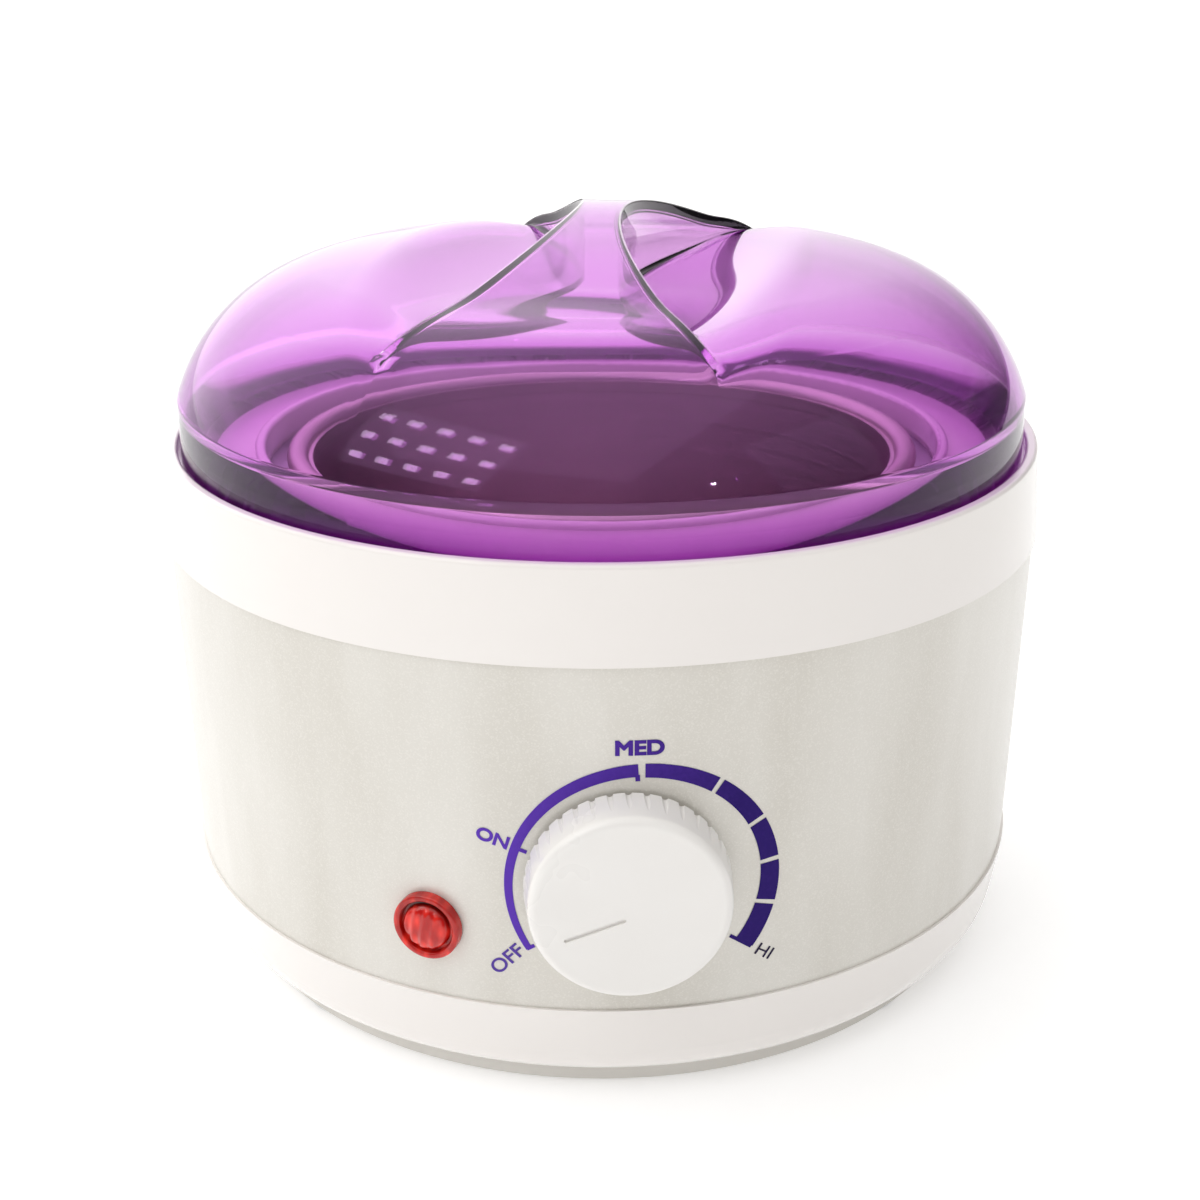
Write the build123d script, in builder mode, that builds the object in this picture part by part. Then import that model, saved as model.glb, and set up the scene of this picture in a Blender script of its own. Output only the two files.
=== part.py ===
"""Wax warmer pot: a round table-top warmer with a lift-out aluminium pot and a clear domed lid.

Frame: millimetres, +Z up, the origin on the pot's axis in the plane that the warmer stands on.
The front, with the control knob, faces -Y, and the power inlet is at the back.
"""
from build123d import *
import math
import os

os.makedirs("parts", exist_ok=True)

# ---------------------------------------------------------------------------
# Driving dimensions
# ---------------------------------------------------------------------------

# Lift-out pot and heating well
POT_RADIUS = 61.0           # outside of the pot's wall
POT_DEPTH = 64.0            # from the underside of the rolled rim to the underside of the pot
POT_WALL = 1.2
POT_CORNER = 9.0            # outside radius between the pot's wall and its floor
POT_BEAD = 2.2              # radius of the rolled rim's section
POT_BEAD_OVERHANG = 4.0     # from the pot's wall to the outside of the rolled rim
POT_SIDE_GAP = 1.0          # between the pot and the well, all round
POT_FLOOR_GAP = 1.4         # between the pot's floor and the well's floor
POT_SEAT_GAP = 0.3          # between the rolled rim and the well's flange
WELL_WALL = 1.2
WELL_FLANGE = 1.2           # thickness of the well's flange
SERVICE_SPACE = 25.1        # from the well's wall to the outside of the body at its foot

# Body: base, band and top ring
CASE_WALL = 2.0
PAD_STAND = 0.6             # how far the anti-slip ring stands below the plinth
PLINTH_HEIGHT = 3.6
PLINTH_INSET = 7.5          # how far the plinth is set in from the body's foot
COVER_PLATE = 2.2           # thickness of the bottom cover's plate
UNDER_SPACE = 27.7          # from the bottom cover up to the underside of the well
BASE_HEIGHT = 16.9
BASE_PROUD = 0.5            # how far the base stands out from the band
BASE_LEDGE = 2.2            # thickness of the base's inward ledge
LEDGE_WIDTH = 17.3          # from the outside of the band's foot in to the ledge's inner edge
BASE_UPRIGHT = 10.1         # height of the base's nearly upright wall
BASE_TAPER = 1.5            # how far that wall leans in
BASE_STEP = 0.8             # how far the base stands out over the plinth
BAND_FLARE = 1.0            # how much wider the band is at its top
SPIGOT_HEIGHT = 4.0         # overlap of the base and the top ring with the inside of the band
SPIGOT_GAP = 0.15
RING_HEIGHT = 17.4
RING_PROUD = 0.7            # how far the top ring stands out from the band
RING_TAPER = 1.4            # how much narrower the top ring is at its top
RING_ROUND = 0.8            # rounding of the top ring's upper edge
LIP_HEIGHT = 2.7            # from the deck that carries the lid up to the lip
LIP_WIDTH = 2.3
DECK_THICKNESS = 2.2
MOUTH_GAP = 4.0             # finger gap between the pot's rim and the mouth of the top ring
MOUTH_WALL = 2.2
MOUTH_RIM = 1.2             # how far the mouth's rim stands above the deck
MOUTH_DEPTH = 5.0           # from the deck down to the well's flange
GASKET = 1.0

# Screws that hold the case together
PILLAR_COUNT = 4
PILLAR_INSET = 11.3         # from the outside of the band's foot in to the pillar's axis
PILLAR_RADIUS = 3.6
CASE_SCREW_RADIUS = 1.9
CASE_SCREW_HEAD = 3.3
CASE_SCREW_HEAD_HEIGHT = 2.0
CASE_SCREW_GRIP = 14.0      # length of thread in the pillar
EAR_COUNT = 3
EAR_RADIUS = 4.0            # ears of the well's flange
EAR_SINK = 0.7              # how far the ears lie inside the mouth's outer wall
EAR_BOSS_RADIUS = 3.0
EAR_SCREW_GRIP = 3.6
SMALL_SCREW_RADIUS = 1.5
SMALL_SCREW_HEAD = 2.7
SMALL_SCREW_HEAD_HEIGHT = 1.8
SCREW_GAP = 0.05            # between a thread and the hole that it cuts
CLEARANCE_HOLE = 0.3        # extra radius of a hole that a screw only passes through

# Lid
LID_WALL = 2.0
LID_FOOT_WALL = 6.4         # the skirt's wall thickens inwards down to its foot
LID_SIDE_GAP = 0.6          # between the lid's skirt and the top ring's lip
SKIRT_HEIGHT = 12.2
SKIRT_DRAFT = 0.2
SHOULDER_RADIUS = 36.7
SHOULDER_DROP = 12.2        # how far the shoulder's centre lies below the top of the skirt
DOME_RISE = 28.8            # from the top of the skirt to the top of the dome
CREST_RISE = 5.1            # how far the handle's crest stands above the dome
CREST_RADIUS = 140.0        # lengthwise curve of the crest
HANDLE_TURN = 8.0           # the handle is turned this many degrees from front-to-back
HANDLE_LENGTH = 120.0
WAIST_HALF_WIDTH = 4.8      # half the handle's width at its waist
WAIST_RADIUS = 100.0        # plan radius of the handle's hollow sides
SCOOP_DEPTH = 11.8          # from the top of the dome down to the floor of a finger scoop
SCOOP_ROUND = 37.0          # radius of the scoop's floor across the handle
SCOOP_SWEEP = 700.0         # radius of the scoop's floor along the handle
SCOOP_OFFSET = 10.0         # from the handle's centre line to the lowest line of the scoop

# Control knob and thermostat
KNOB_TURN = 2.8             # degrees that the knob's axis is turned to the right of the front
KNOB_HEIGHT = 47.3          # height of the knob's axis
KNOB_RADIUS = 17.4          # at the knob's face
KNOB_FLARE = 0.7            # how much wider the knob is at its back
KNOB_LENGTH = 8.2
KNOB_WALL = 1.8
KNOB_STANDOFF = 0.8         # between the knob and the band
KNOB_EDGE = 1.6             # rounding of the edge of the knob's face
KNOB_FLUTES = 36
FLUTE_RADIUS = 0.6
FLUTE_DEPTH = 0.45
POINTER_ANGLE = 200.1       # direction of the pointer groove at rest, in degrees
POINTER_INNER = 1.4
POINTER_LENGTH = 11.2
POINTER_DROP = 1.4          # how far the groove runs beside the middle of the face
POINTER_WIDTH = 0.8
POINTER_DEPTH = 0.5
HUB_RADIUS = 5.2
HUB_BOTTOM_GAP = 0.4        # between the hub's back and the knob's back edge
SHAFT_RADIUS = 3.0
SHAFT_FLAT = 2.3            # from the shaft's axis to its flat
SHAFT_FIT = 0.05            # running fit of the shaft in its bush
SHAFT_GRIP = 5.6            # length of shaft inside the knob's hub
SPRING_THICKNESS = 0.5
SPRING_SETBACK = 1.2        # from each end of the hub's grip to the spring
BUSH_RADIUS = 5.0
NUT_FLATS = 14.0
NUT_THICKNESS = 2.5
NUT_FRONT_GAP = 1.2         # between the thermostat's nut and the inside of the band
BRACKET_SHEET = 1.2
BRACKET_HEIGHT = 13.0
BRACKET_STEP = 5.5          # depth of the bracket's two legs
BRACKET_FOOT = 9.0          # width of each foot
BRACKET_BOSS_RADIUS = 3.4
BRACKET_SCREW_LENGTH = 7.0
SHAFT_HOLE_GAP = 1.0        # between the shaft and the hole in the band
THERMOSTAT_WIDTH = 30.0
THERMOSTAT_HEIGHT = 30.0
THERMOSTAT_DEPTH = 12.0
THERMOSTAT_CORNER = 2.0
LEG_GAP = 1.5               # between the thermostat and each leg of the bracket
TAB_WIDTH = 6.3
TAB_THICKNESS = 0.8
TAB_LENGTH = 7.0
TAB_SPACING = 14.0

# Indicator lamp
LAMP_TURN = -20.4           # degrees that the lamp is turned from the front, to the left
LAMP_HEIGHT = 36.0
LENS_RADIUS = 6.4
LENS_RIM = 1.4              # width of the lens's raised rim
LENS_RIM_HEIGHT = 1.6
LENS_DOME_HEIGHT = 3.0
LENS_DOME_SINK = 0.5        # from the top of the rim down to the edge of the dome
LENS_SEAT = 0.12            # between the lens's flange and the crown of the band
BARREL_RADIUS = 4.8
BARREL_WALL = 1.0
BARREL_LENGTH = 14.0
PANEL_HOLE_GAP = 0.2
RETAINER_RADIUS = 7.6
RETAINER_SHEET = 0.6
RETAINER_GAP = 0.7          # between the retainer and the crown of the band's inside
CAP_THICKNESS = 2.0
NEON_LEAD_RADIUS = 0.35
NEON_RADIUS = 2.0
NEON_LENGTH = 9.0
RESISTOR_RADIUS = 1.2
RESISTOR_LENGTH = 6.5

# Power inlet
INLET_HEIGHT = 36.0
INLET_FLANGE_WIDTH = 30.0
INLET_FLANGE_HEIGHT = 15.0
INLET_FLANGE = 2.0
INLET_BODY_WIDTH = 19.0
INLET_BODY_HEIGHT = 10.6
INLET_BODY_DEPTH = 15.0
INLET_RECESS_DEPTH = 12.0
INLET_LOBE_RADIUS = 3.9
INLET_WAIST_HEIGHT = 5.6
PIN_SPACING = 8.6
PIN_RADIUS = 1.2
PIN_SETBACK = 2.0           # between the tips of the pins and the inlet's face
PIN_TAIL = 3.0
INLET_SCREW_SPACING = 24.4
INLET_FLAT_DEPTH = 1.0      # depth of the flat that the band has for the inlet
INLET_PAD = 2.0             # extra wall behind that flat
INLET_FIT = 0.3
INLET_CORNER = 2.5
INLET_SCREW_LENGTH = 8.0

# Heater
HEATER_WIDTH = 20.0
HEATER_THICKNESS = 2.5
HEATER_LIFT = 10.0          # from the well's floor up to the heater
HEATER_GAP_ANGLE = 10.0     # opening between the heater's ends, in degrees
HEATER_FIT = 0.05           # between the well, the heater and its clamp
CLAMP_SHEET = 0.8
CLAMP_WIDTH = 9.0
CLAMP_INSET = 1.5           # from the heater's lower edge up to the clamp
CLAMP_GAP_ANGLE = 7.0
CLAMP_EAR = 10.0
CLAMP_SCREW_RADIUS = 2.0
CLAMP_NUT_FLATS = 7.0
POST_ANGLE = 26.0           # each heater terminal's angle from the back
POST_RADIUS = 1.6
POST_LENGTH = 5.0
COLLAR_RADIUS = 3.2
COLLAR_HEIGHT = 2.0

# Thermal fuse, on the well's wall
FUSE_AZIMUTH = 205.0
FUSE_RADIUS = 2.0
FUSE_LENGTH = 11.0
FUSE_LEAD_RADIUS = 0.5
FUSE_SLEEVE_WALL = 0.4
FUSE_SLEEVE_LENGTH = 18.0
FUSE_CLIP_SHEET = 0.6
FUSE_CLIP_HEIGHT = 7.0
FUSE_CLIP_FOOT = 4.0

# Heat shield below the well
SHIELD_INSET = 6.2          # from the outside of the well's wall in to the shield's rim
SHIELD_SHEET = 0.8
SHIELD_RIM = 3.0
SHIELD_GAP = 8.0            # from the underside of the well down to the shield
SHIELD_POST_INSET = 7.0     # from the shield's rim in to the posts that carry it
SHIELD_POST_RADIUS = 3.4
SHIELD_POST_COUNT = 3
SHIELD_SCREW_LENGTH = 8.0

# Bottom cover's vents and anti-slip ring
VENT_COUNT = 22
VENT_CIRCLE = 34.0
VENT_LENGTH = 18.0
VENT_WIDTH = 3.0
VENT_ARC = 290.0            # the vents leave the terminal block's place free
PAD_RING_INSET = 12.8       # from the plinth's edge in to the middle of the anti-slip ring
PAD_RING_WIDTH = 6.0

# Terminal block
BLOCK_LENGTH = 34.0
BLOCK_WIDTH = 12.0
BLOCK_HEIGHT = 11.0
BLOCK_Y = 38.0
BLOCK_PITCH = 8.0
BLOCK_WAYS = 3
BLOCK_BORE_RISE = 5.0       # from the bottom cover up to the bores
SLEEVE_RADIUS = 2.4
SLEEVE_BORE = 1.5
CLAMP_HEAD_RADIUS = 1.8
SLEEVE_SETBACK = 0.5
SCREW_SINK = 0.6
BLOCK_FIXING_SPACING = 28.0
BLOCK_FIXING_GRIP = 1.8     # length of thread in the bottom cover

# Wiring
WIRE_RADIUS = 1.1
WIRE_BEND = 1.6             # radius of the wires' bends, at their middle
LAMP_WIRE_RADIUS = 0.7
LAMP_RISER = 18.2           # from the knob's axis to the upright run of the lamp's wire
SLEEVE_ENTRY = 3.0          # from the terminal block's middle to the end of a wire

# ---------------------------------------------------------------------------
# Layout worked out from the driving dimensions
# ---------------------------------------------------------------------------

plinth_z = PAD_STAND
base_z = plinth_z + PLINTH_HEIGHT
band_z = base_z + BASE_HEIGHT
ledge_top_z = base_z + BASE_LEDGE
boss_top_z = band_z + SPIGOT_HEIGHT

well_under_z = base_z + UNDER_SPACE
well_floor_z = well_under_z + WELL_WALL
pot_floor_z = well_floor_z + POT_FLOOR_GAP
flange_top_z = pot_floor_z + POT_DEPTH - POT_SEAT_GAP
pot_bead_z = flange_top_z + POT_SEAT_GAP + POT_BEAD
seat_z = flange_top_z + MOUTH_DEPTH
deck_under_z = seat_z - DECK_THICKNESS
ring_top_z = seat_z + LIP_HEIGHT
ring_z = ring_top_z - RING_HEIGHT
well_in_r = POT_RADIUS + POT_SIDE_GAP
well_out_r = well_in_r + WELL_WALL
bead_out_r = POT_RADIUS + POT_BEAD_OVERHANG
mouth_r = bead_out_r + MOUTH_GAP
mouth_out_r = mouth_r + MOUTH_WALL

band_foot_r = well_out_r + SERVICE_SPACE
band_head_r = band_foot_r + BAND_FLARE
base_r = band_foot_r + BASE_PROUD
plinth_r = band_foot_r - PLINTH_INSET
pad_ring_r = plinth_r - PAD_RING_INSET
ring_foot_r = band_head_r + RING_PROUD
ring_head_r = ring_foot_r - RING_TAPER
lip_in_r = ring_head_r - LIP_WIDTH
lid_r = lip_in_r - LID_SIDE_GAP
skirt_top_r = lid_r - SKIRT_DRAFT
skirt_top_z = seat_z + SKIRT_HEIGHT
dome_top_z = skirt_top_z + DOME_RISE
crest_top_z = dome_top_z + CREST_RISE
pillar_circle = band_foot_r - PILLAR_INSET
ear_circle = mouth_out_r + EAR_RADIUS - EAR_SINK


def band_radius(z):
    """Outside radius of the tapered band at height z."""
    return band_foot_r + BAND_FLARE * (z - band_z) / (ring_z - band_z)


def outward_plane(turn, z):
    """Plane on the axis at height z whose normal points out of the front, turned to the right."""
    a = math.radians(turn)
    return Plane(origin=(0, 0, z), x_dir=(math.cos(a), math.sin(a), 0), z_dir=(math.sin(a), -math.cos(a), 0))


def save(builder, name):
    """Label a finished piece and write its STEP file."""
    builder.part.label = name
    export_step(builder.part, f"parts/{name}.step")


knob_plane = outward_plane(KNOB_TURN, KNOB_HEIGHT)
lamp_plane = outward_plane(LAMP_TURN, LAMP_HEIGHT)
inlet_plane = outward_plane(180, INLET_HEIGHT)

knob_skin = band_radius(KNOB_HEIGHT)
knob_back = knob_skin + KNOB_STANDOFF
knob_face = knob_back + KNOB_LENGTH
nut_front = knob_skin - CASE_WALL - NUT_FRONT_GAP
bracket_front = nut_front - NUT_THICKNESS
bracket_back = bracket_front - BRACKET_SHEET
foot_back = bracket_back - BRACKET_STEP
foot_front = foot_back + BRACKET_SHEET
thermostat_back = bracket_back - THERMOSTAT_DEPTH
leg_x = THERMOSTAT_WIDTH / 2 + LEG_GAP
bracket_screw_x = leg_x + BRACKET_SHEET + BRACKET_FOOT / 2
hub_back = knob_back + HUB_BOTTOM_GAP
shaft_tip = hub_back + SHAFT_GRIP

lamp_skin = band_radius(LAMP_HEIGHT)
barrel_back = lamp_skin - BARREL_LENGTH

inlet_face = band_radius(INLET_HEIGHT) - INLET_FLAT_DEPTH
inlet_front = inlet_face + INLET_FLANGE
inlet_back = inlet_face - INLET_BODY_DEPTH
recess_floor = inlet_front - INLET_RECESS_DEPTH
pin_tip = inlet_front - PIN_SETBACK
pin_end = inlet_back - PIN_TAIL

heater_z = well_floor_z + HEATER_LIFT
heater_out_r = well_out_r + HEATER_THICKNESS
clamp_out_r = heater_out_r + CLAMP_SHEET
heater_top_z = heater_z + HEATER_WIDTH
fuse_z = (heater_top_z + flange_top_z - WELL_FLANGE) / 2
shield_z = well_under_z - SHIELD_GAP
shield_r = well_out_r - SHIELD_INSET
shield_post_circle = shield_r - SHIELD_POST_INSET


def pillar_spots():
    """Where the case screws, their pillars and their bosses stand."""
    return PolarLocations(pillar_circle, PILLAR_COUNT, start_angle=45)


def ear_spots():
    """Where the ears of the well's flange are screwed to the top ring."""
    return PolarLocations(ear_circle, EAR_COUNT, start_angle=90)


def polar(radius, azimuth, z):
    """Point at a radius, an azimuth in degrees from +X, and a height."""
    a = math.radians(azimuth)
    return (radius * math.cos(a), radius * math.sin(a), z)


def upright_planes(spots, z, normal=1):
    """Level planes at height z, one over each spot, facing up, or down with a normal of -1."""
    return [Plane(origin=spot.position + Vector(0, 0, z), z_dir=(0, 0, normal)) for spot in spots.local_locations]


def cup_section(radius, floor, top, corner):
    """Half section of a round cup's outside, for a revolve about the Z axis."""
    with BuildLine() as outline:
        Polyline((radius - corner, floor), (0, floor), (0, top), (radius, top), (radius, floor + corner))
        RadiusArc((radius, floor + corner), (radius - corner, floor), corner)
    make_face(outline.edges())


def open_ring(inner, outer, gap_angle):
    """Ring in plan with an opening, centred on the back, of so many degrees."""
    Circle(outer)
    Circle(inner, mode=Mode.SUBTRACT)
    half = math.radians(gap_angle / 2)
    reach = 2 * outer
    with BuildLine() as wedge:
        Polyline((0, 0), (reach * math.sin(half), reach), (-reach * math.sin(half), reach), close=True)
    make_face(wedge.edges(), mode=Mode.SUBTRACT)


def pan_screws(planes, shank, head, head_height, length):
    """Pan-head screws: each seat lies in a plane, and each shank runs along its normal."""
    with BuildPart() as screws:
        for plane in planes:
            with BuildSketch(plane.offset(-head_height)):
                Circle(head)
            extrude(amount=head_height)
            with BuildSketch(plane):
                Circle(shank)
            extrude(amount=length)
            with BuildSketch(plane.offset(-head_height)):
                Rectangle(1.5 * head, head / 4)
                Rectangle(head / 4, 1.5 * head)
            extrude(amount=0.45 * head_height, mode=Mode.SUBTRACT)
    return screws


def wire(points, radius, bend):
    """Insulated wire along straight runs with rounded bends."""
    with BuildPart() as strand:
        with BuildLine() as route:
            FilletPolyline(*points, radius=bend)
        with BuildSketch(Plane(origin=route.line @ 0, z_dir=route.line % 0)):
            Circle(radius)
        sweep()
    return strand


# ---------------------------------------------------------------------------
# Case: base, bottom cover, band and top ring
# ---------------------------------------------------------------------------

spigot_out = band_foot_r - CASE_WALL - SPIGOT_GAP
spigot_in = spigot_out - CASE_WALL
ledge_in_r = band_foot_r - LEDGE_WIDTH

with BuildPart() as base_shell:
    with BuildSketch(Plane.XZ):
        with BuildLine():
            upright = Line((base_r, band_z), (base_r - BASE_TAPER, band_z - BASE_UPRIGHT))
            TangentArc(upright @ 1, (plinth_r + BASE_STEP, base_z), tangent=upright % 1)
            Polyline(
                (plinth_r + BASE_STEP, base_z),
                (ledge_in_r, base_z),
                (ledge_in_r, ledge_top_z),
                (plinth_r - CASE_WALL, ledge_top_z),
                (spigot_in, ledge_top_z + BASE_LEDGE + CASE_WALL),
                (spigot_in, boss_top_z),
                (spigot_out, boss_top_z),
                (spigot_out, band_z),
                (base_r, band_z),
            )
        make_face()
    revolve(axis=Axis.Z)
    with BuildSketch(Plane.XY.offset(base_z)):
        with pillar_spots():
            Circle(PILLAR_RADIUS)
    extrude(amount=boss_top_z - base_z)
    with BuildSketch(Plane.XY.offset(base_z)):
        with pillar_spots():
            Circle(CASE_SCREW_RADIUS + CLEARANCE_HOLE)
    extrude(amount=boss_top_z - base_z, mode=Mode.SUBTRACT)
save(base_shell, "base_shell")

screw_seat_z = plinth_z + CASE_SCREW_HEAD_HEIGHT + CLEARANCE_HOLE
cover_rim_in = pillar_circle - CASE_SCREW_HEAD - CASE_WALL
plate_z = base_z - COVER_PLATE

with BuildPart() as bottom_cover:
    with BuildSketch(Plane.XY.offset(plate_z)):
        Circle(plinth_r)
    extrude(amount=COVER_PLATE)
    with BuildSketch(Plane.XY.offset(plinth_z)):
        Circle(plinth_r)
        Circle(cover_rim_in, mode=Mode.SUBTRACT)
    extrude(amount=base_z - plinth_z)
    with BuildSketch(Plane.XY.offset(base_z)):
        with PolarLocations(shield_post_circle, SHIELD_POST_COUNT, start_angle=30):
            Circle(SHIELD_POST_RADIUS)
    extrude(amount=shield_z - base_z)
    with BuildSketch(Plane.XY.offset(shield_z)):
        with PolarLocations(shield_post_circle, SHIELD_POST_COUNT, start_angle=30):
            Circle(SMALL_SCREW_RADIUS + SCREW_GAP)
    extrude(amount=-SHIELD_SCREW_LENGTH, mode=Mode.SUBTRACT)
    with BuildSketch(Plane.XY.offset(plate_z)):
        with pillar_spots():
            Circle(CASE_SCREW_RADIUS + CLEARANCE_HOLE)
        with PolarLocations(VENT_CIRCLE, VENT_COUNT, start_angle=270 - VENT_ARC / 2, angular_range=VENT_ARC):
            SlotOverall(VENT_LENGTH, VENT_WIDTH)
    extrude(amount=COVER_PLATE, mode=Mode.SUBTRACT)
    with BuildSketch(Plane.XY.offset(plinth_z)):
        with pillar_spots():
            Circle(CASE_SCREW_HEAD + CLEARANCE_HOLE)
    extrude(amount=screw_seat_z - plinth_z, mode=Mode.SUBTRACT)
    with BuildSketch(Plane.XY.offset(base_z)):
        with Locations((-BLOCK_FIXING_SPACING / 2, BLOCK_Y), (BLOCK_FIXING_SPACING / 2, BLOCK_Y)):
            Circle(SMALL_SCREW_RADIUS + SCREW_GAP)
    extrude(amount=-BLOCK_FIXING_GRIP, mode=Mode.SUBTRACT)
save(bottom_cover, "bottom_cover")

with BuildPart() as anti_slip_ring:
    with BuildSketch(Plane.XY):
        Circle(pad_ring_r + PAD_RING_WIDTH / 2)
        Circle(pad_ring_r - PAD_RING_WIDTH / 2, mode=Mode.SUBTRACT)
    extrude(amount=plate_z)
save(anti_slip_ring, "anti_slip_ring")

boss_tip = foot_back + BRACKET_SCREW_LENGTH + CLEARANCE_HOLE
inlet_pad_width = INLET_FLANGE_WIDTH + 2 * CASE_WALL
inlet_pad_height = INLET_FLANGE_HEIGHT + 2 * CASE_WALL

with BuildPart() as body_band:
    with BuildSketch(knob_plane.offset(foot_front)):
        with Locations((-bracket_screw_x, 0), (bracket_screw_x, 0)):
            Circle(BRACKET_BOSS_RADIUS)
    extrude(amount=band_head_r - foot_front)
    with BuildSketch(inlet_plane.offset(inlet_face - INLET_PAD)):
        Rectangle(inlet_pad_width, inlet_pad_height)
    extrude(amount=band_head_r - inlet_face + INLET_PAD)
    with BuildSketch(Plane.XZ):
        with BuildLine():
            Polyline((0, band_z), (band_foot_r, band_z), (band_head_r, ring_z), (0, ring_z), close=True)
        make_face()
    revolve(axis=Axis.Z, mode=Mode.INTERSECT)
    with BuildSketch(Plane.XZ):
        with BuildLine():
            Polyline(
                (band_foot_r, band_z),
                (band_head_r, ring_z),
                (band_head_r - CASE_WALL, ring_z),
                (band_foot_r - CASE_WALL, band_z),
                close=True,
            )
        make_face()
    revolve(axis=Axis.Z)
    with BuildSketch(knob_plane.offset(foot_front)):
        with Locations((-bracket_screw_x, 0), (bracket_screw_x, 0)):
            Circle(SMALL_SCREW_RADIUS + SCREW_GAP)
    extrude(amount=boss_tip - foot_front, mode=Mode.SUBTRACT)
    with BuildSketch(knob_plane.offset(nut_front)):
        Circle(SHAFT_RADIUS + SHAFT_HOLE_GAP)
    extrude(amount=knob_back - nut_front, mode=Mode.SUBTRACT)
    with BuildSketch(lamp_plane.offset(barrel_back)):
        Circle(BARREL_RADIUS + PANEL_HOLE_GAP)
    extrude(amount=band_head_r - barrel_back, mode=Mode.SUBTRACT)
    with BuildSketch(inlet_plane.offset(inlet_face)):
        Rectangle(INLET_FLANGE_WIDTH + 2 * INLET_FIT, INLET_FLANGE_HEIGHT + 2 * INLET_FIT)
    extrude(amount=band_head_r - inlet_face, mode=Mode.SUBTRACT)
    with BuildSketch(inlet_plane.offset(inlet_back)):
        RectangleRounded(INLET_BODY_WIDTH + 2 * INLET_FIT, INLET_BODY_HEIGHT + 2 * INLET_FIT, INLET_CORNER)
        with Locations((-INLET_SCREW_SPACING / 2, 0), (INLET_SCREW_SPACING / 2, 0)):
            Circle(SMALL_SCREW_RADIUS + SCREW_GAP)
    extrude(amount=INLET_BODY_DEPTH, mode=Mode.SUBTRACT)
save(body_band, "body_band")

ring_spigot_z = ring_z - SPIGOT_HEIGHT
ring_spigot_out = band_radius(ring_spigot_z) - CASE_WALL - SPIGOT_GAP
ring_spigot_in = ring_spigot_out - CASE_WALL
mouth_rim_z = seat_z + MOUTH_RIM
mouth_foot_z = flange_top_z + GASKET

with BuildPart() as top_ring:
    with BuildSketch(Plane.XZ):
        with BuildLine():
            Polyline(
                (ring_foot_r, ring_z),
                (ring_head_r, ring_top_z),
                (lip_in_r, ring_top_z),
                (lip_in_r, seat_z),
                (mouth_out_r, seat_z),
                (mouth_out_r, mouth_rim_z),
                (mouth_r, mouth_rim_z),
                (mouth_r, mouth_foot_z),
                (mouth_out_r, mouth_foot_z),
                (mouth_out_r, deck_under_z),
                (ring_spigot_in, deck_under_z),
                (ring_spigot_in, ring_spigot_z),
                (ring_spigot_out, ring_spigot_z),
                (ring_spigot_out, ring_z),
                close=True,
            )
        make_face()
    revolve(axis=Axis.Z)
    upper_edges = top_ring.edges().filter_by(GeomType.CIRCLE).group_by(Axis.Z)
    fillet(upper_edges[-1], RING_ROUND)
    fillet(upper_edges[-2], RING_ROUND)
    with BuildSketch(Plane.XY.offset(boss_top_z)):
        with pillar_spots():
            Circle(PILLAR_RADIUS)
    extrude(amount=deck_under_z - boss_top_z)
    with BuildSketch(Plane.XY.offset(flange_top_z)):
        with ear_spots():
            Circle(EAR_BOSS_RADIUS)
    extrude(amount=deck_under_z - flange_top_z)
    with BuildSketch(Plane.XY.offset(boss_top_z)):
        with pillar_spots():
            Circle(CASE_SCREW_RADIUS + SCREW_GAP)
    extrude(amount=CASE_SCREW_GRIP + CLEARANCE_HOLE, mode=Mode.SUBTRACT)
    with BuildSketch(Plane.XY.offset(flange_top_z)):
        with ear_spots():
            Circle(SMALL_SCREW_RADIUS + SCREW_GAP)
    extrude(amount=EAR_SCREW_GRIP + CLEARANCE_HOLE, mode=Mode.SUBTRACT)
save(top_ring, "top_ring")

case_screws = pan_screws(
    upright_planes(pillar_spots(), screw_seat_z),
    CASE_SCREW_RADIUS,
    CASE_SCREW_HEAD,
    CASE_SCREW_HEAD_HEIGHT,
    boss_top_z + CASE_SCREW_GRIP - screw_seat_z,
)
save(case_screws, "case_screws")

# ---------------------------------------------------------------------------
# Heating well and lift-out pot
# ---------------------------------------------------------------------------

well_flange_r = mouth_out_r + WELL_FLANGE
well_flange_z = flange_top_z - WELL_FLANGE
well_corner = POT_CORNER + POT_SIDE_GAP

with BuildPart() as heating_well:
    with BuildSketch(Plane.XY.offset(well_flange_z)):
        Circle(well_flange_r)
        with ear_spots():
            Circle(EAR_RADIUS)
        with ear_spots():
            Circle(SMALL_SCREW_RADIUS + CLEARANCE_HOLE, mode=Mode.SUBTRACT)
    extrude(amount=WELL_FLANGE)
    with BuildSketch(Plane.XZ):
        cup_section(well_out_r, well_under_z, flange_top_z, well_corner + WELL_WALL)
    revolve(axis=Axis.Z)
    with BuildSketch(Plane.XZ):
        cup_section(well_in_r, well_floor_z, flange_top_z, well_corner)
    revolve(axis=Axis.Z, mode=Mode.SUBTRACT)
save(heating_well, "heating_well")

with BuildPart() as well_gasket:
    with BuildSketch(Plane.XY.offset(flange_top_z)):
        Circle(mouth_out_r)
        Circle(mouth_r, mode=Mode.SUBTRACT)
    extrude(amount=GASKET)
save(well_gasket, "well_gasket")

well_screws = pan_screws(
    upright_planes(ear_spots(), well_flange_z),
    SMALL_SCREW_RADIUS,
    SMALL_SCREW_HEAD,
    SMALL_SCREW_HEAD_HEIGHT,
    WELL_FLANGE + EAR_SCREW_GRIP,
)
save(well_screws, "well_screws")

bead_axis_r = bead_out_r - POT_BEAD

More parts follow.
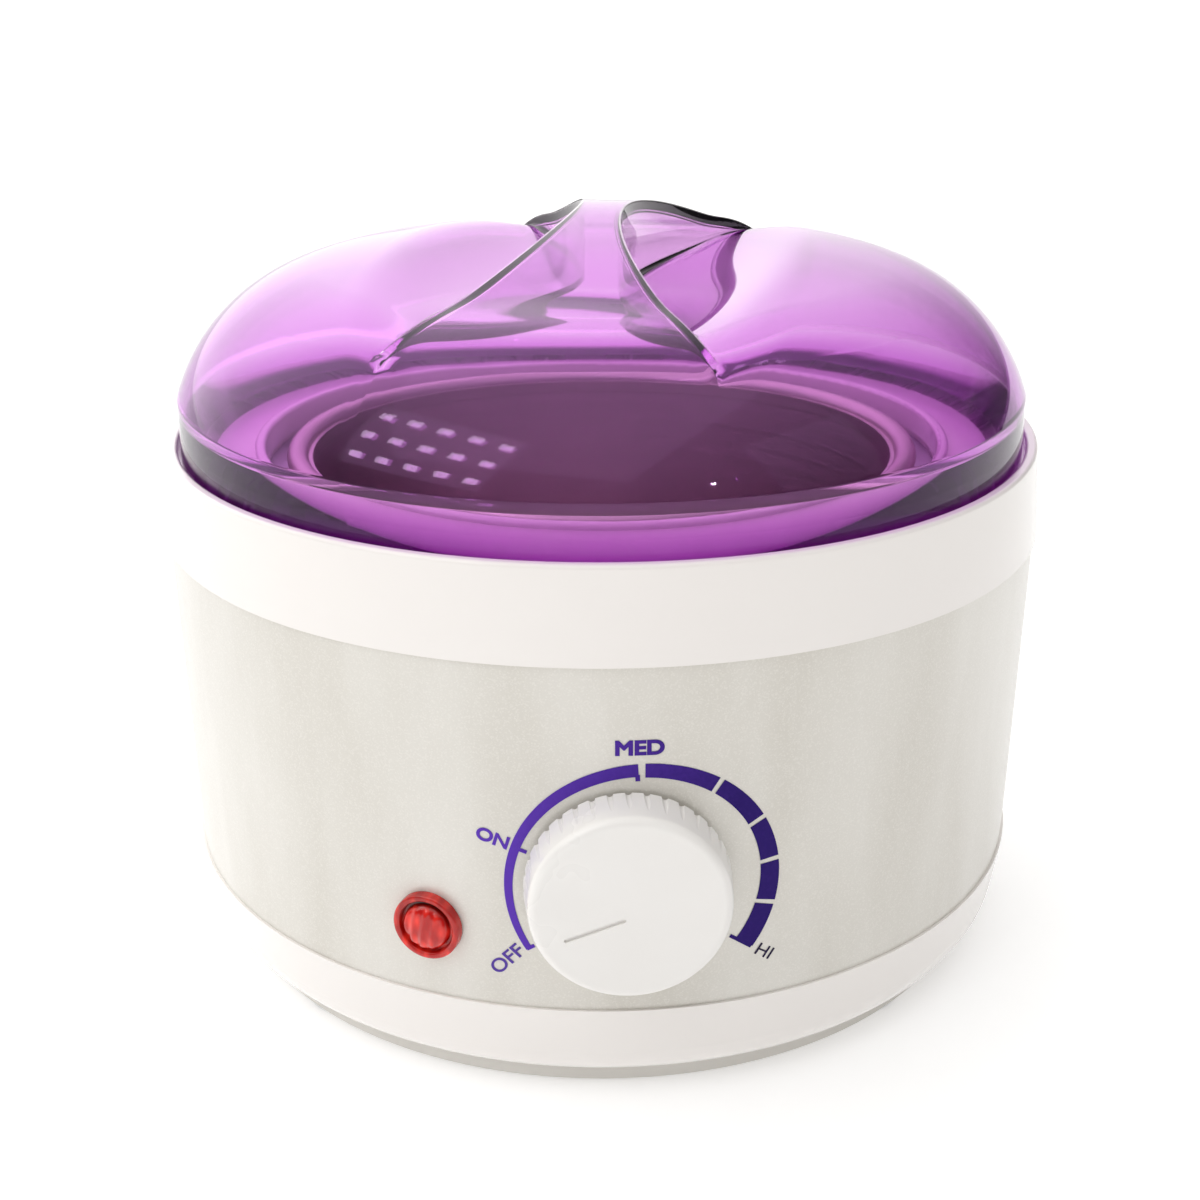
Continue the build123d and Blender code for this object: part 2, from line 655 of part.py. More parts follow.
with BuildPart() as wax_pot:
    with BuildSketch(Plane.XZ):
        cup_section(POT_RADIUS, pot_floor_z, pot_bead_z, POT_CORNER)
        with Locations((bead_axis_r, pot_bead_z)):
            Circle(POT_BEAD)
    revolve(axis=Axis.Z)
    with BuildSketch(Plane.XZ):
        cup_section(POT_RADIUS - POT_WALL, pot_floor_z + POT_WALL, pot_bead_z + POT_BEAD, POT_CORNER - POT_WALL)
    revolve(axis=Axis.Z, mode=Mode.SUBTRACT)
save(wax_pot, "wax_pot")

# ---------------------------------------------------------------------------
# Heater, heat shield and thermal fuse
# ---------------------------------------------------------------------------

heater_in_r = well_out_r + HEATER_FIT
clamp_in_r = heater_out_r + HEATER_FIT
clamp_z = heater_z + CLAMP_INSET
clamp_mid_z = clamp_z + CLAMP_WIDTH / 2
post_z = heater_z + HEATER_WIDTH - COLLAR_RADIUS - CLAMP_INSET
post_planes = [outward_plane(180 + side * POST_ANGLE, post_z) for side in (-1, 1)]
post_root = heater_out_r - HEATER_THICKNESS / 2
ear_x = clamp_out_r * math.sin(math.radians(CLAMP_GAP_ANGLE / 2))
ear_tip_y = clamp_out_r + CLAMP_EAR
clamp_screw_y = ear_tip_y - CLAMP_EAR / 2

with BuildPart() as heater_band:
    with BuildSketch(Plane.XY.offset(heater_z)):
        open_ring(heater_in_r, heater_out_r, HEATER_GAP_ANGLE)
    extrude(amount=HEATER_WIDTH)
    for plane in post_planes:
        with BuildSketch(plane.offset(post_root)):
            Circle(POST_RADIUS + SCREW_GAP)
        extrude(amount=HEATER_THICKNESS, mode=Mode.SUBTRACT)
save(heater_band, "heater_band")

with BuildPart() as heater_clamp:
    with BuildSketch(Plane.XY.offset(clamp_z)):
        open_ring(clamp_in_r, clamp_out_r, CLAMP_GAP_ANGLE)
        for side in (-1, 1):
            with Locations((side * (ear_x + CLAMP_SHEET / 2), (clamp_in_r + ear_tip_y) / 2)):
                Rectangle(CLAMP_SHEET, ear_tip_y - clamp_in_r)
    extrude(amount=CLAMP_WIDTH)
    with BuildSketch(Plane.YZ.offset(-clamp_in_r)):
        with Locations((clamp_screw_y, clamp_mid_z)):
            Circle(CLAMP_SCREW_RADIUS + CLEARANCE_HOLE)
    extrude(amount=2 * clamp_in_r, mode=Mode.SUBTRACT)
save(heater_clamp, "heater_clamp")

clamp_nut_thickness = 1.6 * CLAMP_SCREW_RADIUS
clamp_ear_out = ear_x + CLAMP_SHEET

clamp_screw = pan_screws(
    [Plane(origin=(-clamp_ear_out, clamp_screw_y, clamp_mid_z), z_dir=(1, 0, 0))],
    CLAMP_SCREW_RADIUS,
    1.8 * CLAMP_SCREW_RADIUS,
    CLAMP_SCREW_RADIUS,
    2 * clamp_ear_out + clamp_nut_thickness + CLAMP_SHEET,
)
save(clamp_screw, "clamp_screw")

with BuildPart() as clamp_nut:
    with BuildSketch(Plane(origin=(clamp_ear_out, clamp_screw_y, clamp_mid_z), z_dir=(1, 0, 0))):
        RegularPolygon(radius=CLAMP_NUT_FLATS / 2, side_count=6, major_radius=False)
        Circle(CLAMP_SCREW_RADIUS + SCREW_GAP, mode=Mode.SUBTRACT)
    extrude(amount=clamp_nut_thickness)
save(clamp_nut, "clamp_nut")

with BuildPart() as heater_terminals:
    for plane in post_planes:
        with BuildSketch(plane.offset(post_root)):
            Circle(POST_RADIUS)
        extrude(amount=heater_out_r + POST_LENGTH - post_root)
save(heater_terminals, "heater_terminals")

with BuildPart() as terminal_collars:
    for plane in post_planes:
        with BuildSketch(plane.offset(heater_out_r)):
            Circle(COLLAR_RADIUS)
            Circle(POST_RADIUS + SCREW_GAP, mode=Mode.SUBTRACT)
        extrude(amount=COLLAR_HEIGHT)
save(terminal_collars, "terminal_collars")

sleeve_in = FUSE_RADIUS + HEATER_FIT
sleeve_out = sleeve_in + FUSE_SLEEVE_WALL
fuse_axis_r = well_out_r + sleeve_out + HEATER_FIT
fuse_spot = polar(fuse_axis_r, FUSE_AZIMUTH, 0)
fuse_x_dir = polar(1, FUSE_AZIMUTH + 90, 0)


def fuse_plane(z):
    """Level plane on the fuse's axis, with its Y axis towards the pot's axis."""
    return Plane(origin=(fuse_spot[0], fuse_spot[1], z), x_dir=fuse_x_dir, z_dir=(0, 0, 1))


with BuildPart() as thermal_fuse:
    with BuildSketch(fuse_plane(fuse_z - FUSE_LENGTH / 2)):
        Circle(FUSE_RADIUS)
    extrude(amount=FUSE_LENGTH)
    with BuildSketch(fuse_plane(fuse_z - FUSE_SLEEVE_LENGTH / 2)):
        Circle(FUSE_LEAD_RADIUS)
    extrude(amount=FUSE_SLEEVE_LENGTH)
save(thermal_fuse, "thermal_fuse")

with BuildPart() as fuse_sleeve:
    with BuildSketch(fuse_plane(fuse_z - FUSE_SLEEVE_LENGTH / 2)):
        Circle(sleeve_out)
        Circle(sleeve_in, mode=Mode.SUBTRACT)
    extrude(amount=FUSE_SLEEVE_LENGTH)
save(fuse_sleeve, "fuse_sleeve")

strap_in = sleeve_out + HEATER_FIT
strap_out = strap_in + FUSE_CLIP_SHEET
strap_foot_y = fuse_axis_r - well_out_r - HEATER_FIT

with BuildPart() as fuse_clip:
    with BuildSketch(fuse_plane(fuse_z - FUSE_CLIP_HEIGHT / 2)):
        Circle(strap_out)
        with Locations((0, strap_foot_y / 2)):
            Rectangle(2 * strap_out, strap_foot_y)
        with Locations((0, strap_foot_y - FUSE_CLIP_SHEET / 2)):
            Rectangle(2 * (strap_out + FUSE_CLIP_FOOT), FUSE_CLIP_SHEET)
        Circle(strap_in, mode=Mode.SUBTRACT)
        with Locations((0, sleeve_out)):
            Rectangle(2 * strap_in, 2 * sleeve_out, mode=Mode.SUBTRACT)
    extrude(amount=FUSE_CLIP_HEIGHT)
save(fuse_clip, "fuse_clip")

with BuildPart() as heat_shield:
    with BuildSketch(Plane.XY.offset(shield_z)):
        Circle(shield_r)
        with PolarLocations(shield_post_circle, SHIELD_POST_COUNT, start_angle=30):
            Circle(SMALL_SCREW_RADIUS + CLEARANCE_HOLE, mode=Mode.SUBTRACT)
    extrude(amount=SHIELD_SHEET)
    with BuildSketch(Plane.XY.offset(shield_z)):
        Circle(shield_r)
        Circle(shield_r - SHIELD_SHEET, mode=Mode.SUBTRACT)
    extrude(amount=SHIELD_SHEET + SHIELD_RIM)
save(heat_shield, "heat_shield")

shield_spots = PolarLocations(shield_post_circle, SHIELD_POST_COUNT, start_angle=30)
shield_screws = pan_screws(
    upright_planes(shield_spots, shield_z + SHIELD_SHEET, normal=-1),
    SMALL_SCREW_RADIUS,
    SMALL_SCREW_HEAD,
    SMALL_SCREW_HEAD_HEIGHT,
    SHIELD_SCREW_LENGTH,
)
save(shield_screws, "shield_screws")

# ---------------------------------------------------------------------------
# Thermostat and control knob
# ---------------------------------------------------------------------------

with BuildPart() as thermostat_bracket:
    with BuildSketch(knob_plane.offset(bracket_back)):
        Rectangle(2 * (leg_x + BRACKET_SHEET), BRACKET_HEIGHT)
        Circle(BUSH_RADIUS + SCREW_GAP, mode=Mode.SUBTRACT)
    extrude(amount=BRACKET_SHEET)
    for side in (-1, 1):
        with BuildSketch(knob_plane.offset(foot_back)):
            with Locations((side * (leg_x + BRACKET_SHEET / 2), 0)):
                Rectangle(BRACKET_SHEET, BRACKET_HEIGHT)
        extrude(amount=bracket_front - foot_back)
        with BuildSketch(knob_plane.offset(foot_back)):
            with Locations((side * (leg_x + (BRACKET_SHEET + BRACKET_FOOT) / 2), 0)):
                Rectangle(BRACKET_SHEET + BRACKET_FOOT, BRACKET_HEIGHT)
            with Locations((side * bracket_screw_x, 0)):
                Circle(SMALL_SCREW_RADIUS + CLEARANCE_HOLE, mode=Mode.SUBTRACT)
        extrude(amount=BRACKET_SHEET)
save(thermostat_bracket, "thermostat_bracket")

foot_plane = knob_plane.offset(foot_back)
bracket_screws = pan_screws(
    [Plane(foot_plane * Location((side * bracket_screw_x, 0, 0))) for side in (-1, 1)],
    SMALL_SCREW_RADIUS,
    SMALL_SCREW_HEAD,
    SMALL_SCREW_HEAD_HEIGHT,
    BRACKET_SCREW_LENGTH,
)
save(bracket_screws, "bracket_screws")

shaft_root = bracket_back - THERMOSTAT_DEPTH / 2

with BuildPart() as thermostat_body:
    with BuildSketch(knob_plane.offset(thermostat_back)):
        RectangleRounded(THERMOSTAT_WIDTH, THERMOSTAT_HEIGHT, THERMOSTAT_CORNER)
    extrude(amount=THERMOSTAT_DEPTH)
    with BuildSketch(knob_plane.offset(shaft_root)):
        Circle(SHAFT_RADIUS + CLEARANCE_HOLE)
    extrude(amount=bracket_back - shaft_root, mode=Mode.SUBTRACT)
save(thermostat_body, "thermostat_body")

tab_y = THERMOSTAT_HEIGHT / 2 + TAB_LENGTH / 2
tab_depth = thermostat_back + THERMOSTAT_DEPTH / 2

with BuildPart() as thermostat_tabs:
    with BuildSketch(knob_plane.offset(tab_depth)):
        with Locations((-TAB_SPACING / 2, tab_y), (TAB_SPACING / 2, tab_y)):
            Rectangle(TAB_WIDTH, TAB_LENGTH)
    extrude(amount=TAB_THICKNESS)
save(thermostat_tabs, "thermostat_tabs")

with BuildPart() as thermostat_bush:
    with BuildSketch(knob_plane.offset(bracket_back)):
        Circle(BUSH_RADIUS)
        Circle(SHAFT_RADIUS + SHAFT_FIT, mode=Mode.SUBTRACT)
    extrude(amount=nut_front - bracket_back)
save(thermostat_bush, "thermostat_bush")

with BuildPart() as thermostat_nut:
    with BuildSketch(knob_plane.offset(bracket_front)):
        RegularPolygon(radius=NUT_FLATS / 2, side_count=6, major_radius=False)
        Circle(BUSH_RADIUS + SCREW_GAP, mode=Mode.SUBTRACT)
    extrude(amount=NUT_THICKNESS)
save(thermostat_nut, "thermostat_nut")

with BuildPart() as control_shaft:
    with BuildSketch(knob_plane.offset(shaft_root + CLEARANCE_HOLE)):
        Circle(SHAFT_RADIUS)
    extrude(amount=shaft_tip - shaft_root - CLEARANCE_HOLE)
    with BuildSketch(knob_plane.offset(hub_back)):
        with Locations((0, SHAFT_FLAT + SHAFT_RADIUS)):
            Rectangle(2 * SHAFT_RADIUS, 2 * SHAFT_RADIUS)
    extrude(amount=shaft_tip - hub_back, mode=Mode.SUBTRACT)
save(control_shaft, "control_shaft")

knob_back_r = KNOB_RADIUS + KNOB_FLARE
knob_taper = math.degrees(math.atan(KNOB_FLARE / KNOB_LENGTH))
flute_circle = knob_back_r + FLUTE_RADIUS - FLUTE_DEPTH
pointer_mid = POINTER_INNER + POINTER_LENGTH / 2

with BuildPart() as knob:
    with BuildSketch(knob_plane.offset(knob_back)):
        Circle(knob_back_r)
    extrude(amount=KNOB_LENGTH, taper=knob_taper)
    fillet(knob.faces().sort_by(Axis(knob_plane.origin, knob_plane.z_dir))[-1].edges(), KNOB_EDGE)
    with BuildSketch(knob_plane.offset(knob_back)):
        with PolarLocations(flute_circle, KNOB_FLUTES):
            Circle(FLUTE_RADIUS)
    extrude(amount=KNOB_LENGTH, mode=Mode.SUBTRACT)
    with BuildSketch(knob_plane.offset(knob_back)):
        Circle(knob_back_r - FLUTE_DEPTH - KNOB_WALL)
    extrude(amount=KNOB_LENGTH - KNOB_WALL, taper=knob_taper, mode=Mode.SUBTRACT)
    with BuildSketch(knob_plane.offset(hub_back)):
        Circle(HUB_RADIUS)
    extrude(amount=knob_face - hub_back - KNOB_WALL / 2)
    with BuildSketch(knob_plane.offset(hub_back)):
        Circle(SHAFT_RADIUS + SCREW_GAP)
        with Locations((0, SHAFT_FLAT + SCREW_GAP + SHAFT_RADIUS)):
            Rectangle(3 * SHAFT_RADIUS, 2 * SHAFT_RADIUS, mode=Mode.SUBTRACT)
    extrude(amount=SHAFT_GRIP + CLEARANCE_HOLE, mode=Mode.SUBTRACT)
    with BuildSketch(knob_plane.offset(knob_face)):
        with Locations(Location((0, 0, 0), (0, 0, POINTER_ANGLE))):
            with Locations((pointer_mid, POINTER_DROP)):
                SlotOverall(POINTER_LENGTH, POINTER_WIDTH)
    extrude(amount=-POINTER_DEPTH, mode=Mode.SUBTRACT)
save(knob, "knob")

with BuildPart() as knob_spring:
    with BuildSketch(knob_plane.offset(hub_back + SPRING_SETBACK)):
        Circle(HUB_RADIUS + SCREW_GAP + SPRING_THICKNESS)
        Circle(HUB_RADIUS + SCREW_GAP, mode=Mode.SUBTRACT)
        with Locations((0, -HUB_RADIUS)):
            Rectangle(HUB_RADIUS / 2, HUB_RADIUS, mode=Mode.SUBTRACT)
    extrude(amount=SHAFT_GRIP - 2 * SPRING_SETBACK)
save(knob_spring, "knob_spring")

# ---------------------------------------------------------------------------
# Indicator lamp
# ---------------------------------------------------------------------------

lens_back = lamp_skin + LENS_SEAT
rim_top = lens_back + LENS_RIM_HEIGHT
dome_r = LENS_RADIUS - LENS_RIM
bore_r = BARREL_RADIUS - BARREL_WALL
lamp_section = Plane(origin=lamp_plane.origin, x_dir=lamp_plane.x_dir, z_dir=lamp_plane.x_dir.cross(lamp_plane.z_dir))
lamp_axis = Axis(lamp_plane.origin, lamp_plane.z_dir)

with BuildPart() as indicator_lens:
    with BuildSketch(lamp_section):
        with BuildLine():
            TangentArc((0, lens_back + LENS_DOME_HEIGHT), (dome_r, rim_top - LENS_DOME_SINK), tangent=(1, 0))
            Polyline(
                (dome_r, rim_top - LENS_DOME_SINK),
                (dome_r, rim_top),
                (LENS_RADIUS, rim_top),
                (LENS_RADIUS, lens_back),
                (BARREL_RADIUS, lens_back),
                (BARREL_RADIUS, barrel_back),
                (bore_r, barrel_back),
                (bore_r, lens_back),
            )
            TangentArc((0, lens_back + LENS_DOME_HEIGHT - BARREL_WALL), (bore_r, lens_back), tangent=(1, 0))
            Line((0, lens_back + LENS_DOME_HEIGHT - BARREL_WALL), (0, lens_back + LENS_DOME_HEIGHT))
        make_face()
    revolve(axis=lamp_axis)
save(indicator_lens, "indicator_lens")

retainer_front = lamp_skin - CASE_WALL - RETAINER_GAP

with BuildPart() as lamp_retainer:
    with BuildSketch(lamp_plane.offset(retainer_front)):
        Circle(RETAINER_RADIUS)
        Circle(BARREL_RADIUS + SCREW_GAP, mode=Mode.SUBTRACT)
    extrude(amount=-RETAINER_SHEET)
save(lamp_retainer, "lamp_retainer")

lead_x = NEON_RADIUS / 2

with BuildPart() as lamp_cap:
    with BuildSketch(lamp_plane.offset(barrel_back)):
        Circle(bore_r - SCREW_GAP)
        with Locations((-lead_x, 0), (lead_x, 0)):
            Circle(NEON_LEAD_RADIUS + SCREW_GAP, mode=Mode.SUBTRACT)
    extrude(amount=CAP_THICKNESS)
save(lamp_cap, "lamp_cap")

with BuildPart() as neon_lamp:
    with BuildSketch(lamp_plane.offset(barrel_back + CAP_THICKNESS)):
        Circle(NEON_RADIUS)
    extrude(amount=NEON_LENGTH)
    fillet(neon_lamp.faces().sort_by(lamp_axis)[-1].edges(), NEON_RADIUS / 2)
    with BuildSketch(lamp_plane.offset(barrel_back)):
        with Locations((-lead_x, 0), (lead_x, 0)):
            Circle(NEON_LEAD_RADIUS)
    extrude(amount=CAP_THICKNESS)
save(neon_lamp, "neon_lamp")

resistor_foot = lamp_plane.from_local_coords(
    (-lead_x, -RESISTOR_LENGTH / 2, barrel_back - RESISTOR_RADIUS - SCREW_GAP)
)
resistor_level = Plane(origin=resistor_foot, x_dir=lamp_plane.x_dir, z_dir=(0, 0, 1))

with BuildPart() as lamp_resistor:
    with BuildSketch(resistor_level):
        Circle(RESISTOR_RADIUS)
    extrude(amount=RESISTOR_LENGTH)
save(lamp_resistor, "lamp_resistor")

# ---------------------------------------------------------------------------
# Power inlet
# ---------------------------------------------------------------------------

with BuildPart() as power_inlet:
    with BuildSketch(inlet_plane.offset(inlet_face)):
        RectangleRounded(INLET_FLANGE_WIDTH, INLET_FLANGE_HEIGHT, INLET_CORNER)
        with Locations((-INLET_SCREW_SPACING / 2, 0), (INLET_SCREW_SPACING / 2, 0)):
            Circle(SMALL_SCREW_RADIUS + CLEARANCE_HOLE, mode=Mode.SUBTRACT)
    extrude(amount=INLET_FLANGE)
    with BuildSketch(inlet_plane.offset(inlet_back)):
        RectangleRounded(INLET_BODY_WIDTH, INLET_BODY_HEIGHT, INLET_CORNER)
    extrude(amount=INLET_BODY_DEPTH)
    with BuildSketch(inlet_plane.offset(recess_floor)):
        Rectangle(PIN_SPACING, INLET_WAIST_HEIGHT)
        with Locations((-PIN_SPACING / 2, 0), (PIN_SPACING / 2, 0)):
            Circle(INLET_LOBE_RADIUS)
    extrude(amount=INLET_RECESS_DEPTH, mode=Mode.SUBTRACT)
    with BuildSketch(inlet_plane.offset(inlet_back)):
        with Locations((-PIN_SPACING / 2, 0), (PIN_SPACING / 2, 0)):
            Circle(PIN_RADIUS + SCREW_GAP)
    extrude(amount=recess_floor - inlet_back, mode=Mode.SUBTRACT)
save(power_inlet, "power_inlet")

with BuildPart() as inlet_pins:
    with BuildSketch(inlet_plane.offset(pin_end)):
        with Locations((-PIN_SPACING / 2, 0), (PIN_SPACING / 2, 0)):
            Circle(PIN_RADIUS)
    extrude(amount=pin_tip - pin_end)
    fillet(inlet_pins.faces().group_by(Axis.Y)[-1].edges(), PIN_RADIUS / 2)
save(inlet_pins, "inlet_pins")

inlet_front_plane = Plane(origin=(0, inlet_front, INLET_HEIGHT), x_dir=(1, 0, 0), z_dir=(0, -1, 0))
inlet_screws = pan_screws(
    [Plane(inlet_front_plane * Location((side * INLET_SCREW_SPACING / 2, 0, 0))) for side in (-1, 1)],
    SMALL_SCREW_RADIUS,
    SMALL_SCREW_HEAD,
    SMALL_SCREW_HEAD_HEIGHT,
    INLET_SCREW_LENGTH,
)
save(inlet_screws, "inlet_screws")

# ---------------------------------------------------------------------------
# Terminal block on the bottom cover
# ---------------------------------------------------------------------------

bore_z = base_z + BLOCK_BORE_RISE
block_top_z = base_z + BLOCK_HEIGHT
block_back_y = BLOCK_Y + BLOCK_WIDTH / 2
ways_x = [(way - (BLOCK_WAYS - 1) / 2) * BLOCK_PITCH for way in range(BLOCK_WAYS)]
clamp_foot_z = bore_z + SLEEVE_RADIUS + SCREW_GAP

with BuildPart() as terminal_block:
    with BuildSketch(Plane.XY.offset(base_z)):
        with Locations((0, BLOCK_Y)):
            Rectangle(BLOCK_LENGTH, BLOCK_WIDTH)
        with Locations((-BLOCK_FIXING_SPACING / 2, BLOCK_Y), (BLOCK_FIXING_SPACING / 2, BLOCK_Y)):
            Circle(SMALL_SCREW_RADIUS + CLEARANCE_HOLE, mode=Mode.SUBTRACT)
    extrude(amount=BLOCK_HEIGHT)
    with BuildSketch(Plane.XZ.offset(-block_back_y)):
        with Locations(*[(x, bore_z) for x in ways_x]):
            Circle(SLEEVE_RADIUS + SCREW_GAP)
    extrude(amount=BLOCK_WIDTH, mode=Mode.SUBTRACT)
    with BuildSketch(Plane.XY.offset(bore_z)):
        with Locations(*[(x, BLOCK_Y) for x in ways_x]):
            Circle(CLAMP_HEAD_RADIUS + SCREW_GAP)
    extrude(amount=block_top_z - bore_z, mode=Mode.SUBTRACT)
save(terminal_block, "terminal_block")

with BuildPart() as terminal_sleeves:
    with BuildSketch(Plane.XZ.offset(-block_back_y + SLEEVE_SETBACK)):
        with Locations(*[(x, bore_z) for x in ways_x]):
            Circle(SLEEVE_RADIUS)
        with Locations(*[(x, bore_z) for x in ways_x]):
            Circle(SLEEVE_BORE, mode=Mode.SUBTRACT)
    extrude(amount=BLOCK_WIDTH - 2 * SLEEVE_SETBACK)
save(terminal_sleeves, "terminal_sleeves")

with BuildPart() as terminal_screws:
    with BuildSketch(Plane.XY.offset(clamp_foot_z)):
        with Locations(*[(x, BLOCK_Y) for x in ways_x]):
            Circle(CLAMP_HEAD_RADIUS)
    extrude(amount=block_top_z - clamp_foot_z - SCREW_SINK)
    with BuildSketch(Plane.XY.offset(block_top_z - SCREW_SINK)):
        with Locations(*[(x, BLOCK_Y) for x in ways_x]):
            Rectangle(2 * CLAMP_HEAD_RADIUS, CLAMP_HEAD_RADIUS / 3)
    extrude(amount=-SCREW_SINK, mode=Mode.SUBTRACT)
save(terminal_screws, "terminal_screws")

block_spots = GridLocations(BLOCK_FIXING_SPACING, 1, 2, 1)
block_screws = pan_screws(
    [Plane(origin=spot.position + Vector(0, BLOCK_Y, block_top_z), z_dir=(0, 0, -1)) for spot in block_spots],
    SMALL_SCREW_RADIUS,
    SMALL_SCREW_HEAD,
    SMALL_SCREW_HEAD_HEIGHT,
    BLOCK_HEIGHT + BLOCK_FIXING_GRIP,
)
save(block_screws, "block_screws")

# ---------------------------------------------------------------------------
# Wiring
# ---------------------------------------------------------------------------

duct_r = (clamp_out_r + pillar_circle - PILLAR_RADIUS) / 2
low_z = shield_z / 2
way_out_y = BLOCK_Y + SLEEVE_ENTRY
way_in_y = BLOCK_Y - SLEEVE_ENTRY
rim_side_y = shield_r + 2 * WIRE_RADIUS + SHIELD_SHEET


def supply_route(side):
    """From an inlet pin down outside the heat shield and into the terminal block's back."""
    pin_x = side * PIN_SPACING / 2
    way_x = side * BLOCK_PITCH
    return [
        (pin_x, pin_end, INLET_HEIGHT),
        (pin_x, (pin_end + well_out_r) / 2, INLET_HEIGHT),
        (way_x, rim_side_y, low_z),
        (way_x, block_back_y + 4 * WIRE_RADIUS, bore_z),
        (way_x, way_out_y, bore_z),
    ]


live_supply_wire = wire(supply_route(1), WIRE_RADIUS, WIRE_BEND)
save(live_supply_wire, "live_supply_wire")

neutral_supply_wire = wire(supply_route(-1), WIRE_RADIUS, WIRE_BEND)
save(neutral_supply_wire, "neutral_supply_wire")

fuse_foot_z = fuse_z - FUSE_SLEEVE_LENGTH / 2
fuse_head_z = fuse_z + FUSE_SLEEVE_LENGTH / 2

fuse_feed_wire = wire(
    [
        (BLOCK_PITCH, way_in_y, bore_z),
        (BLOCK_PITCH, BLOCK_Y / 2, bore_z),
        (-BLOCK_Y / 2, -BLOCK_PITCH, bore_z),
        polar(shield_r, FUSE_AZIMUTH - 8, low_z),
        polar(duct_r, FUSE_AZIMUTH, shield_z + 2 * SHIELD_GAP),
        polar(duct_r, FUSE_AZIMUTH, heater_top_z),
        polar(fuse_axis_r, FUSE_AZIMUTH, fuse_foot_z - 2 * WIRE_RADIUS),
        polar(fuse_axis_r, FUSE_AZIMUTH, fuse_foot_z),
    ],
    WIRE_RADIUS,
    WIRE_BEND,
)
save(fuse_feed_wire, "fuse_feed_wire")

left_tab = knob_plane.from_local_coords((-TAB_SPACING / 2, tab_y + TAB_LENGTH / 2, tab_depth))
right_tab = knob_plane.from_local_coords((TAB_SPACING / 2, tab_y + TAB_LENGTH / 2, tab_depth))
tab_rise = Vector(0, 0, 4 * WIRE_RADIUS)

thermostat_feed_wire = wire(
    [
        polar(fuse_axis_r, FUSE_AZIMUTH, fuse_head_z),
        polar(fuse_axis_r, FUSE_AZIMUTH, fuse_head_z + 2 * WIRE_RADIUS),
        polar(duct_r, FUSE_AZIMUTH + 16, fuse_head_z),
        polar(duct_r, FUSE_AZIMUTH + 36, fuse_z + FUSE_LENGTH / 2),
        tuple(left_tab + tab_rise),
        tuple(left_tab),
    ],
    WIRE_RADIUS,
    WIRE_BEND,
)
save(thermostat_feed_wire, "thermostat_feed_wire")

post_tip_r = heater_out_r + POST_LENGTH
right_post = 90 - POST_ANGLE
left_post = 90 + POST_ANGLE
wrap_z = heater_top_z + 4 * WIRE_RADIUS

heater_feed_wire = wire(
    [
        tuple(right_tab),
        tuple(right_tab + tab_rise),
        *[polar(duct_r, azimuth, wrap_z) for azimuth in range(-60, 50, 25)],
        polar(post_tip_r + 4 * WIRE_RADIUS, right_post, post_z),
        polar(post_tip_r, right_post, post_z),
    ],
    WIRE_RADIUS,
    WIRE_BEND / 2,
)
save(heater_feed_wire, "heater_feed_wire")

heater_return_wire = wire(
    [
        polar(post_tip_r, left_post, post_z),
        polar(post_tip_r + 4 * WIRE_RADIUS, left_post, post_z),
        polar(duct_r, left_post + 5, shield_z + 2 * SHIELD_GAP),
        polar(shield_r + 3 * WIRE_RADIUS, left_post + 8, low_z),
        (-BLOCK_LENGTH / 2 - 4 * WIRE_RADIUS, BLOCK_Y, bore_z),
        (-BLOCK_LENGTH / 2, BLOCK_Y / 2, bore_z),
        (-BLOCK_PITCH, BLOCK_Y / 2, bore_z),
        (-BLOCK_PITCH, way_in_y, bore_z),
    ],
    WIRE_RADIUS,
    WIRE_BEND,
)
save(heater_return_wire, "heater_return_wire")

neon_lead = lamp_plane.from_local_coords((lead_x, 0, barrel_back))
riser_depth = (thermostat_back + tab_depth) / 2
riser_foot = knob_plane.from_local_coords((-LAMP_RISER, (LAMP_HEIGHT - KNOB_HEIGHT) / 2, riser_depth))
riser_head = knob_plane.from_local_coords((-LAMP_RISER, tab_y, riser_depth))
tab_inner_x = (TAB_SPACING - TAB_WIDTH) / 2
tab_mid = tab_depth + TAB_THICKNESS / 2

lamp_feed_wire = wire(
    [
        tuple(neon_lead),
        tuple(neon_lead - lamp_plane.z_dir * 4 * LAMP_WIRE_RADIUS),
        tuple(riser_foot),
        tuple(riser_head),
        tuple(knob_plane.from_local_coords((0, tab_y, riser_depth))),
        tuple(knob_plane.from_local_coords((0, tab_y, tab_mid))),
        tuple(knob_plane.from_local_coords((tab_inner_x, tab_y, tab_mid))),
    ],
    LAMP_WIRE_RADIUS,
    WIRE_BEND / 2,
)
save(lamp_feed_wire, "lamp_feed_wire")

cross_z = shield_z - SHIELD_GAP

lamp_return_wire = wire(
    [
        tuple(resistor_foot),
        (resistor_foot.X, resistor_foot.Y, cross_z),
        (0, (BLOCK_Y - BLOCK_WIDTH) / 2, cross_z),
        (0, BLOCK_Y - BLOCK_WIDTH, bore_z),
        (0, way_in_y, bore_z),
    ],
    LAMP_WIRE_RADIUS,
    WIRE_BEND,
)
save(lamp_return_wire, "lamp_return_wire")

# ---------------------------------------------------------------------------
# Lid
# ---------------------------------------------------------------------------

shoulder_z = skirt_top_z - SHOULDER_DROP
shoulder_r = skirt_top_r - math.sqrt(SHOULDER_RADIUS**2 - SHOULDER_DROP**2)
shoulder_gap = dome_top_z - shoulder_z
crown_radius = (shoulder_r**2 + shoulder_gap**2 - SHOULDER_RADIUS**2) / (2 * (shoulder_gap - SHOULDER_RADIUS))
crown_z = dome_top_z - crown_radius
scoop_floor_z = dome_top_z - SCOOP_DEPTH
handle_plane = Plane(
    origin=(0, 0, 0),
    x_dir=(math.cos(math.radians(HANDLE_TURN)), -math.sin(math.radians(HANDLE_TURN)), 0),
    z_dir=(0, 0, 1),
)


